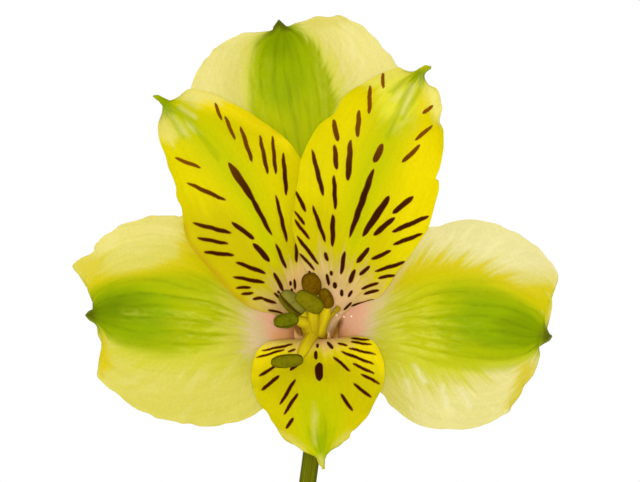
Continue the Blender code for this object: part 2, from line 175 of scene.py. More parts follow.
# A slit's width, its depth and how dark it is: when shut, and what an open one adds.
SLIT_WIDTH, SLIT_DEPTH, SLIT_DARK = (0.16, 0.1), (0.16, 0.2), (0.45, 0.55)
SLIT_ENDS = 0.25  # how near to the tips slit and groove run: the lower, the nearer
GROOVE_WIDTH, GROOVE_DEPTH = 0.3, 0.2
LOBES = 0.05
LOBE_EDGE = (0.1, 0.4)  # radians from the slit over which one lobe's grey sets in
TIP_BROWN = 0.35  # how much sooner an anther's tips turn brown than its front
BLUNT, UNEVEN = 0.66, (0.05, 0.03)  # how blunt an anther's ends are, and how far its girth strays
BUMPS = ((0.035, 3, 2.3, 1), (0.025, 5, -3.1, 0))  # height, waves round and along, share of facing
ARMS = 3  # of the stigma
ARM_PATH = ((-0.3, 0.0), (0.2, 0.15), (0.5, 0.4))  # on and out from the style's end
ARM_TURN = 0.4  # of the first arm, in radians
ARM_RADIUS = 0.4
ARM_TAPER = 0.5  # how much thinner an arm is at its end
ARM_STEPS, ARM_SIDES = 12, 14
WAY_POINTS = 4  # points at the style's end that give its way there
DROP_FLATTEN = 0.75  # a drop's height against its width
DROP_POLE = 0.05  # as POLE, of a drop

# Studio, in metres
FLOOR_RADIUS = 0.42
FLOOR_SIDES = 96
AMBIENT = 0.32  # light from all around, as a share of white
SENSOR, LENS = 36.0, 225.0
# Each soft lamp: its place, its aim, its width and its watts.
LAMPS = {
    "key": ((0.0, -0.9, 0.133), (0.0, -0.02, 0.12), 0.08, 7.2),
    "side": ((-0.55, -0.55, 0.3), (0.0, -0.02, 0.1), 0.5, 0.6),
    "back": ((-0.3, 0.7, 0.55), (0.0, 0.0, 0.08), 0.5, 4.0),
}
# Narrow soft beams into the throat: where each stands, and its watts.
THROAT = (0.002, -0.02, 0.1145)
SNOOTS = (((0.0, -0.9, 0.133), 12.0), ((0.36, -0.82, 0.13), 13.0), ((-0.36, -0.82, 0.13), 13.0),
          ((0.0, -0.8, 0.5), 14.0))
SNOOT_SPREAD = math.radians(2.6)
SNOOT_RADIUS = 0.05

# Each petal: the clock angle of its claw, the ring that it stands on, its stations from the claw to the
# tip, and the tip. A station holds the edge on the anticlockwise side, the midrib and the other edge.
PETALS = {
    "outer_top": (90, OUTER_RING, (
        -1.5, 5, -9.9, 0, 5, -10.2, 1.5, 5, -9.9,
        -3.4, 11, -6.9, -0.3, 11, -7.8, 3.2, 11, -6.9,
        -8, 18, -4.9, -0.8, 18, -6.2, 6.8, 18, -4.9,
        -13.6, 25, -4, -1.5, 25, -5.2, 10.8, 25, -4,
        -17.6, 31, -3.8, -2.3, 31.5, -4.9, 13, 31.5, -3.8,
        -18.8, 36, -4, -3, 36.8, -4.9, 12.9, 37.2, -4,
        -16.4, 40.6, -4.8, -3.7, 40.8, -5.5, 9.6, 42.7, -4.7,
        -12.2, 43.7, -5.8, -4.3, 43.2, -6.3, 4.3, 46.7, -5.6,
        -7.4, 44.3, -6.8, -4.8, 44.5, -7, -1.2, 46.3, -6.6,
        -6, 45, -7.5, -5.2, 45.1, -7.6, -4.4, 45.2, -7.5,
    ), (-5.6, 46.1, -8.6)),
    "outer_left": (205, OUTER_RING, (
        -3, -5.7, -9, -4.9, -2.6, -9.4, -3.8, 3, -10,
        -4.8, -8.2, -5.4, -8, -1, -5.6, -7, 5.4, -6.2,
        -8.2, -12.6, -2.8, -13, 0.8, -2.6, -12.2, 10.8, -3.6,
        -14, -14.7, -1.2, -18, 1.7, -1.2, -17.2, 15.4, -2.6,
        -20.4, -14.5, -0.2, -23.4, 2.2, -0.8, -23, 16.9, -1.8,
        -26.8, -12.4, 0.2, -27.6, 2.3, -1, -28.4, 15.7, -1.4,
        -31.8, -8.5, 0, -30.6, 2.2, -1.4, -33.2, 12.1, -1.4,
        -32.5, -4.2, -0.6, -32.2, 2, -1.8, -36.2, 8.8, -1.6,
        -32.8, -0.6, -1.6, -33, 1.9, -2.3, -34, 5.4, -2,
        -33.6, 0.9, -2.6, -33.7, 1.8, -2.8, -33.6, 2.7, -2.7,
    ), (-34.6, 1.7, -3.6)),
    "outer_right": (335, OUTER_RING, (
        3.6, 3.2, -10, 4.9, -2.6, -9.4, 3, -5.7, -9,
        6.9, 6, -6.2, 8, -1, -5.6, 5.2, -8.2, -5.4,
        11.2, 9.8, -3.6, 13, 0.4, -2.6, 9.4, -10.9, -2.8,
        16.4, 14.4, -2.6, 18, 0.7, -1.2, 14.8, -14.4, -1.2,
        22.5, 16.1, -1.8, 23.4, 0.4, -0.8, 20.8, -15.5, -0.2,
        28.4, 15, -1.4, 27.8, -0.1, -1, 27, -14, 0.2,
        33.4, 11.9, -1.4, 31.2, -0.7, -1.4, 30.9, -9.6, 0,
        36.3, 7.5, -1.6, 33, -1.1, -1.8, 33.5, -5.2, -0.6,
        35.2, 2.4, -2, 33.7, -1.3, -2.3, 33.5, -3.6, -1.6,
        34.6, -0.6, -2.7, 34.4, -1.5, -2.8, 34, -2.3, -2.6,
    ), (35.4, -1.5, -3.6)),
    "inner_left": (150, INNER_RING, (
        -3.8, 0.8, -9.8, -2.9, 1.8, -10.2, -1.7, 2.6, -10,
        -7.2, 2.2, -2.8, -4, 6, -4, -1.2, 7.4, -4.4,
        -11.5, 4, -0.6, -5.4, 10.3, -1.4, -0.2, 12.6, -2.6,
        -16, 8.7, 0.8, -7.6, 15.4, 0.5, 0.3, 18.4, -1.6,
        -19.6, 13.8, 1.6, -10.2, 20, 1.7, -0.6, 23.2, -1,
        -21, 20, 2, -13, 24.3, 2.4, -3.7, 27.3, -0.4,
        -22.8, 26.2, 2, -16.3, 28.2, 2.6, -8.5, 30.8, 0.2,
        -23.7, 30.2, 1.6, -19.6, 31.4, 2.2, -14.4, 34.1, 0.6,
        -23.3, 32.3, 1, -21.8, 32.9, 1.4, -19.6, 34.8, 0.7,
        -23.1, 33.2, 0.6, -22.6, 33.6, 0.8, -22, 34, 0.5,
    ), (-24.3, 34.7, -0.2)),
    "inner_right": (30, INNER_RING, (
        1.7, 2.6, -9.8, 2.9, 1.8, -10.2, 3.7, 1, -9.8,
        -0.6, 6.9, -2.4, 3.6, 6, -3.8, 7.2, 3.3, -2.8,
        -2.5, 11, 0, 4.3, 10.3, -1.2, 11.2, 6.6, -0.6,
        -3.6, 15.8, 1.6, 5.6, 15.4, 0.9, 15.2, 12.3, 0.8,
        -3.1, 20.6, 2.6, 7.2, 20, 2.4, 17.6, 17.6, 1.6,
        -2.2, 25.2, 3, 9, 24.5, 3.3, 18.3, 22.8, 2.2,
        0.9, 30.7, 2.8, 11.2, 29.3, 3.6, 19.1, 28.4, 2.4,
        6.2, 36, 1.8, 13.7, 33.9, 3.2, 18.7, 33.8, 2,
        13, 38.5, 1.2, 15.3, 36.7, 2.2, 17.2, 36.1, 1.6,
        15.5, 38.5, 0.9, 15.9, 38.1, 1.2, 16.2, 37.7, 1,
    ), (17.2, 39, 0.4)),
    "inner_bottom": (270, INNER_RING, (
        1.8, -3.9, -9, 0, -4.4, -9.2, -1.8, -3.9, -9,
        3.8, -2.2, -4.4, 0.1, -2.3, -4.8, -3.6, -2.3, -4.4,
        7.6, -1.6, -0.4, 0.3, -2.9, -1.2, -7, -2.1, -0.4,
        10, -4.6, 1.6, 0.4, -6.2, 1.6, -9.4, -5.2, 1.6,
        10.1, -8.8, 3.4, 0.5, -9.8, 4, -9.5, -9.2, 3.4,
        8.2, -12.7, 4.9, 0.7, -13.4, 5.7, -7.5, -12.8, 4.9,
        4.7, -16.7, 6.2, 0.8, -16.6, 6.9, -4.6, -16.9, 6.2,
        2, -18.5, 6.9, 0.9, -18.5, 7.4, -1.2, -18.9, 6.9,
        1.3, -19.5, 7.3, 1, -19.6, 7.4, 0.4, -19.8, 7.2,
    ), (1.1, -20.9, 7.5)),
}

# The margins of each petal as the front view shows them, from where they come into view to the tip:
# the anticlockwise side, then the other.
OUTLINES = {
    "outer_top": (
        (
            -18.8, 35.7, -18.4, 37, -17.9, 38.2, -17.2, 39.3, -16.8, 40, -16, 40.7, -15.5, 41.6, -15, 41.9,
            -14.2, 42.5, -13, 43.2, -12, 43.6, -11, 44.1, -9, 44.2, -6.7, 44.5, -6.3, 45.2, -5.6, 46.1),
        (
            12.5, 38.9, 11.9, 39.5, 11.2, 40.7, 10, 41.8, 9.2, 43, 8, 44.1, 7, 45.2, 5.2, 46, 4.3, 46.5,
            3.3, 46.8, 2, 46.5, 0, 46.6, -1.5, 46, -3, 45.6, -4.3, 45.1, -5, 45.6, -5.6, 46.1)),
    "outer_left": (
        (
            -7.9, -12.2, -9.3, -13.2, -10.5, -13.8, -12, -14.3, -13.5, -14.5, -15, -14.9, -17.5, -14.9,
            -18.7, -14.5, -20, -14.5, -21, -14.2, -22.5, -13.9, -24, -13.6, -25, -13, -26.5, -12.5,
            -28, -11.6, -29, -10.8, -30, -9.9, -31, -9.3, -32, -8.4, -32.7, -7.6, -32.8, -7, -32.6, -5.5,
            -32.4, -4.3, -32.1, -3, -32.2, -2.1, -32.7, -1.2, -32.8, -0.2, -33.2, 0.5, -34, 1, -34.6, 1.7),
        (
            -20, 16.8, -20.5, 16.5, -21.2, 16.7, -24, 16.7, -25, 16.7, -26.5, 16.1, -28, 15.7, -29.3, 15.3,
            -30.5, 14.4, -31.8, 13.7, -32.5, 13, -33.2, 12.2, -33.3, 11.4, -34.2, 10.8, -35.2, 10.4,
            -36, 9.8, -36.6, 9.1, -36, 8.4, -35.3, 7.7, -34.6, 7, -34.3, 6, -34, 5, -33.4, 4.1, -33.1, 3.4,
            -33.3, 2.8, -34.2, 2.3, -34.6, 1.7)),
    "outer_right": (
        (
            16.9, 15, 18.5, 15.1, 19.5, 15.5, 21, 15.9, 22.5, 16.1, 24, 16.1, 25.5, 15.8, 27, 15.5, 28, 15,
            29, 14.5, 30, 14.2, 31.2, 13.4, 32.3, 12.6, 33.3, 12, 34, 11.2, 34.8, 10.2, 35.5, 9.5, 36, 8.6,
            36.4, 7.6, 36.1, 6.6, 35.7, 5.6, 35.1, 4.9, 35.4, 4, 35.4, 3, 35.2, 1.8, 34.9, 0.6, 34.7, -0.2,
            35, -0.9, 35.4, -1.5),
        (
            9.8, -9.9, 10.4, -10.5, 11, -11.6, 12, -12.4, 13.3, -13.5, 14.8, -14.4, 16.5, -15, 18.3, -15.3,
            20, -15.3, 22, -15.4, 24, -15.1, 25.2, -14.7, 26.3, -14.3, 27.8, -13.4, 28.9, -12.8,
            29.3, -11.9, 30, -11, 30.7, -10, 31.1, -8.9, 31.8, -8.1, 32.6, -7.2, 33, -6.2, 33.4, -5,
            33.6, -4, 33.4, -3.1, 34, -2.6, 35, -2.1, 35.4, -1.5)),
    "inner_left": (
        (
            -7, 2.1, -8.5, 2.4, -10, 3, -11.5, 4, -13, 5.3, -14.5, 7, -16, 8.7, -17.5, 10.5, -19, 12.5,
            -19.7, 14.5, -20, 16.8, -20.2, 18, -20.9, 19.5, -21, 21, -21.5, 22.5, -22.1, 23.9, -22.6, 25.8,
            -23.2, 27.3, -23.6, 28.6, -23.7, 30.3, -23.5, 31, -22.8, 32.8, -23.3, 33.6, -24.3, 34.7),
        (
            -2.5, 25.5, -3.7, 27.3, -5, 28.6, -7, 30.1, -8.5, 31.1, -10, 32.2, -11.5, 33, -13, 33.8,
            -14.5, 34.6, -16, 35.2, -18.8, 35.7, -20, 35, -20.5, 34.5, -21.6, 33.8, -22.5, 34.2,
            -23.6, 34.8, -24.3, 34.7)),
    "inner_right": (
        (
            -1.5, 8.5, -2.2, 10, -2.8, 12, -3.4, 14, -3.6, 16, -3.3, 18.5, -3, 20.5, -2.6, 23, -2.4, 24.6,
            -2, 25.8, -1, 28, 0.2, 30, 1.3, 31, 2.5, 31.8, 3.2, 32.8, 3.8, 34, 4.7, 35, 5.8, 35.8, 7, 36.4,
            8.5, 37.4, 10.5, 38.3, 12.5, 38.9, 13, 38.6, 14.3, 38.2, 15, 38.4, 15.8, 39, 16.5, 39.3,
            17.2, 39),
        (
            4.2, 2, 5.5, 3, 7.5, 3.8, 9, 4.2, 9.8, 4.7, 10.8, 6, 12, 8, 13.5, 10, 15, 12, 16.2, 13.8,
            16.9, 15, 17.5, 17, 17.9, 18.6, 18.4, 20.5, 18.4, 21.8, 18, 22.3, 18.6, 24, 18.9, 25.5,
            19.1, 27, 19.1, 29.3, 18.9, 30, 18.5, 31, 18.9, 32.7, 18.7, 33.8, 18.5, 34.9, 18, 35.8,
            17, 36.2, 16.2, 36.8, 16, 37.3, 16.3, 38, 16.8, 38.6, 17.2, 39)),
    "inner_bottom": (
        (
            2, -2.2, 3.5, -1.9, 5.5, -1.5, 7, -1.5, 8.2, -1.9, 9, -2.6, 9.6, -3.6, 10.1, -5, 10.3, -6.5,
            10.2, -8, 9.9, -9.2, 9.5, -10, 8.9, -11.1, 8.4, -12.1, 7.8, -13.3, 7, -14.2, 6, -15.2,
            5.2, -15.9, 5, -16.6, 4.2, -17.2, 3.3, -17.9, 2.3, -18.3, 1.3, -19, 1.3, -20, 1.1, -20.9),
        (
            -5, -1.9, -7, -2.2, -7.8, -2.6, -8.5, -3.2, -9.1, -4.2, -9.5, -5.5, -9.7, -7, -9.6, -8.5,
            -9.2, -10, -8.5, -11.4, -7.9, -12.2, -7.2, -13, -6.7, -14, -6, -15, -5.5, -15.9, -4.9, -16.7,
            -4, -17.3, -3, -17.8, -2.1, -18.5, -1.2, -18.9, -0.3, -19.1, 0.1, -19.7, 0.5, -20.7,
            1.1, -20.9)),
}

# Dark streaks of each petal: right and up of both ends, and the width at each.
STREAKS = {
    "inner_left": (
        (-15.2, 33.6, -14.2, 31, 0.35, 0.3), (-13.7, 31.5, -12.2, 28.1, 0.4, 0.35),
        (-11.4, 30, -9.6, 24.8, 0.45, 0.5), (-8.5, 28.7, -7.3, 23, 0.4, 0.5),
        (-6.6, 28.6, -6.1, 22.9, 0.35, 0.45), (-5, 26.2, -4.5, 19.8, 0.45, 0.5),
        (-21.1, 25.4, -17.3, 23.9, 0.35, 0.4), (-19.4, 21.7, -13.5, 19, 0.4, 0.5),
        (-13.1, 24.6, -9.2, 18.7, 0.95, 0.75), (-9.8, 19.6, -6.7, 13.8, 0.6, 0.45),
        (-6.1, 19.8, -4.4, 12.8, 0.4, 0.45), (-18.5, 15.6, -12.7, 14.1, 0.45, 0.55),
        (-17.9, 13.4, -13.1, 12.5, 0.4, 0.45), (-16.9, 11.3, -12.3, 10.8, 0.4, 0.5),
        (-12.7, 15.8, -9.3, 13.2, 0.5, 0.6), (-9.5, 12.6, -7, 9.9, 0.65, 0.7),
        (-12.1, 9.8, -7.6, 8.1, 0.45, 0.5), (-12.5, 7.6, -7.8, 6.7, 0.4, 0.5),
        (-12.1, 5.9, -9.8, 6, 0.3, 0.35), (-11.3, 4.9, -9.4, 5.2, 0.3, 0.35),
        (-9.6, 4.2, -8, 4.4, 0.35, 0.4), (-8.2, 4.35, -6.1, 3.6, 0.4, 0.3),
        (-7.3, 2.6, -5.2, 2.2, 0.25, 0.2), (-6.1, 12.5, -4.6, 8.9, 0.4, 0.45),
        (-6.4, 8.2, -5.1, 5.5, 0.45, 0.5), (-3.1, 12.6, -3, 9.8, 0.35, 0.4), (-4, 7, -4, 6.3, 0.3, 0.3),
        (-3.4, 7.3, -3.3, 5.8, 0.3, 0.3), (-6.4, 5.2, -5.5, 4.2, 0.3, 0.3),
        (-5.9, 5.5, -5.6, 5.1, 0.3, 0.3), (-3.8, 5.9, -3.8, 5.3, 0.3, 0.3)),
    "inner_right": (
        (10, 38.3, 10.1, 35.7, 0.32, 0.37), (8.1, 36.2, 8, 31.9, 0.4, 0.5),
        (6.5, 32.5, 6.2, 28.4, 0.5, 0.55), (2.6, 31.2, 3.3, 27.8, 0.5, 0.6),
        (2.8, 27.4, 3.1, 23.6, 0.5, 0.6), (2.7, 22.8, 2.9, 17.7, 0.5, 0.5), (5.2, 28.1, 4.8, 22, 0.6, 0.8),
        (10, 27.5, 8.7, 24.7, 0.7, 0.8), (8.6, 23.7, 5, 13.5, 0.85, 0.6),
        (-0.6, 26.7, 1.1, 19.7, 0.45, 0.6), (17.4, 33.2, 16, 32, 0.35, 0.4),
        (17.4, 30.2, 14.8, 28, 0.35, 0.4), (15.6, 27.3, 12.9, 24.7, 0.45, 0.5),
        (11, 19.7, 7, 13.7, 0.85, 0.8), (14.6, 19.7, 11.5, 17.1, 0.6, 0.7),
        (11.8, 16.5, 8.6, 13.8, 0.6, 0.65), (16.9, 16.7, 11.4, 14.3, 0.5, 0.6),
        (15.9, 14, 11.6, 12.4, 0.45, 0.5), (8, 12, 6.2, 9.7, 0.55, 0.6), (11.3, 11.5, 8.4, 10.2, 0.45, 0.5),
        (13.6, 9.8, 8.9, 8.4, 0.4, 0.45), (12, 7.8, 9.4, 7.4, 0.35, 0.4), (9.5, 6.7, 6.9, 5.8, 0.35, 0.4),
        (9.6, 5.6, 7.3, 5, 0.35, 0.4), (8.8, 4.1, 5.5, 3.2, 0.3, 0.35), (8.1, 9.2, 6.6, 7.9, 0.45, 0.5),
        (5.9, 8.7, 5.1, 6.7, 0.5, 0.6), (4.3, 11.5, 3.8, 8, 0.45, 0.5), (-0.5, 18.3, 1.4, 12.8, 0.4, 0.45),
        (2.5, 17, 2.5, 12.2, 0.55, 0.6), (1.3, 11.3, 1.8, 10, 0.4, 0.4),
        (-3.1, 20.5, -1.5, 17.3, 0.4, 0.45), (-3.2, 17.5, -1.7, 15.4, 0.3, 0.35),
        (-3.2, 16.2, -1, 13.2, 0.35, 0.4), (-2.9, 13.7, 0.3, 9.5, 0.4, 0.45),
        (-2.5, 11.1, -0.3, 8.6, 0.3, 0.35), (1.6, 8.1, 1.9, 6.5, 0.4, 0.4),
        (2.2, 8.6, 2.4, 7.9, 0.35, 0.35), (2.7, 6.9, 3, 6, 0.5, 0.45), (4, 5.8, 4, 4.8, 0.4, 0.4),
        (5.6, 5.6, 5, 4.7, 0.35, 0.35), (5.5, 3.8, 4.4, 2.7, 0.3, 0.25), (6.2, 2.9, 4.6, 2.2, 0.2, 0.15),
        (-1.1, 8.4, -0.9, 8, 0.3, 0.3)),
    "inner_bottom": (
        (0.45, -5.5, 0.5, -8.2, 1.1, 0.9), (0, -3.7, 0, -5, 0.4, 0.45), (0.2, -2.7, 0.2, -3.3, 0.28, 0.3),
        (1.7, -2.5, 2.6, -3.4, 0.36, 0.4), (5.3, -1.9, 8.1, -2, 0.26, 0.2),
        (5.3, -2.4, 8.4, -2.7, 0.26, 0.22), (3.3, -2.7, 4.8, -2.9, 0.25, 0.2),
        (4.9, -3.3, 9.1, -4.2, 0.28, 0.24), (3.8, -3.8, 8.8, -5.7, 0.33, 0.3),
        (2.6, -4.6, 5.2, -6.8, 0.36, 0.33), (5.5, -5.6, 8.9, -7.1, 0.33, 0.3),
        (6.7, -7.1, 9.6, -8.6, 0.36, 0.32), (5.6, -8.55, 8.3, -10.7, 0.4, 0.36),
        (3.7, -10.1, 5.5, -12.7, 0.45, 0.36), (-3.6, -2.8, -8.2, -3.6, 0.26, 0.21),
        (-4.8, -3.5, -9, -4.7, 0.26, 0.21), (-3.1, -3.5, -4.2, -3.9, 0.25, 0.2),
        (-5.9, -5.9, -8.6, -7.5, 0.35, 0.32), (-5.5, -7.4, -8.2, -9.6, 0.45, 0.4),
        (-2.3, -5.2, -3.9, -6.7, 0.44, 0.4), (-3.1, -8, -5.4, -11.7, 0.42, 0.36),
        (-2.7, -10, -4.8, -13.2, 0.42, 0.36), (-3.3, -13.7, -4.5, -15.3, 0.42, 0.35)),
}
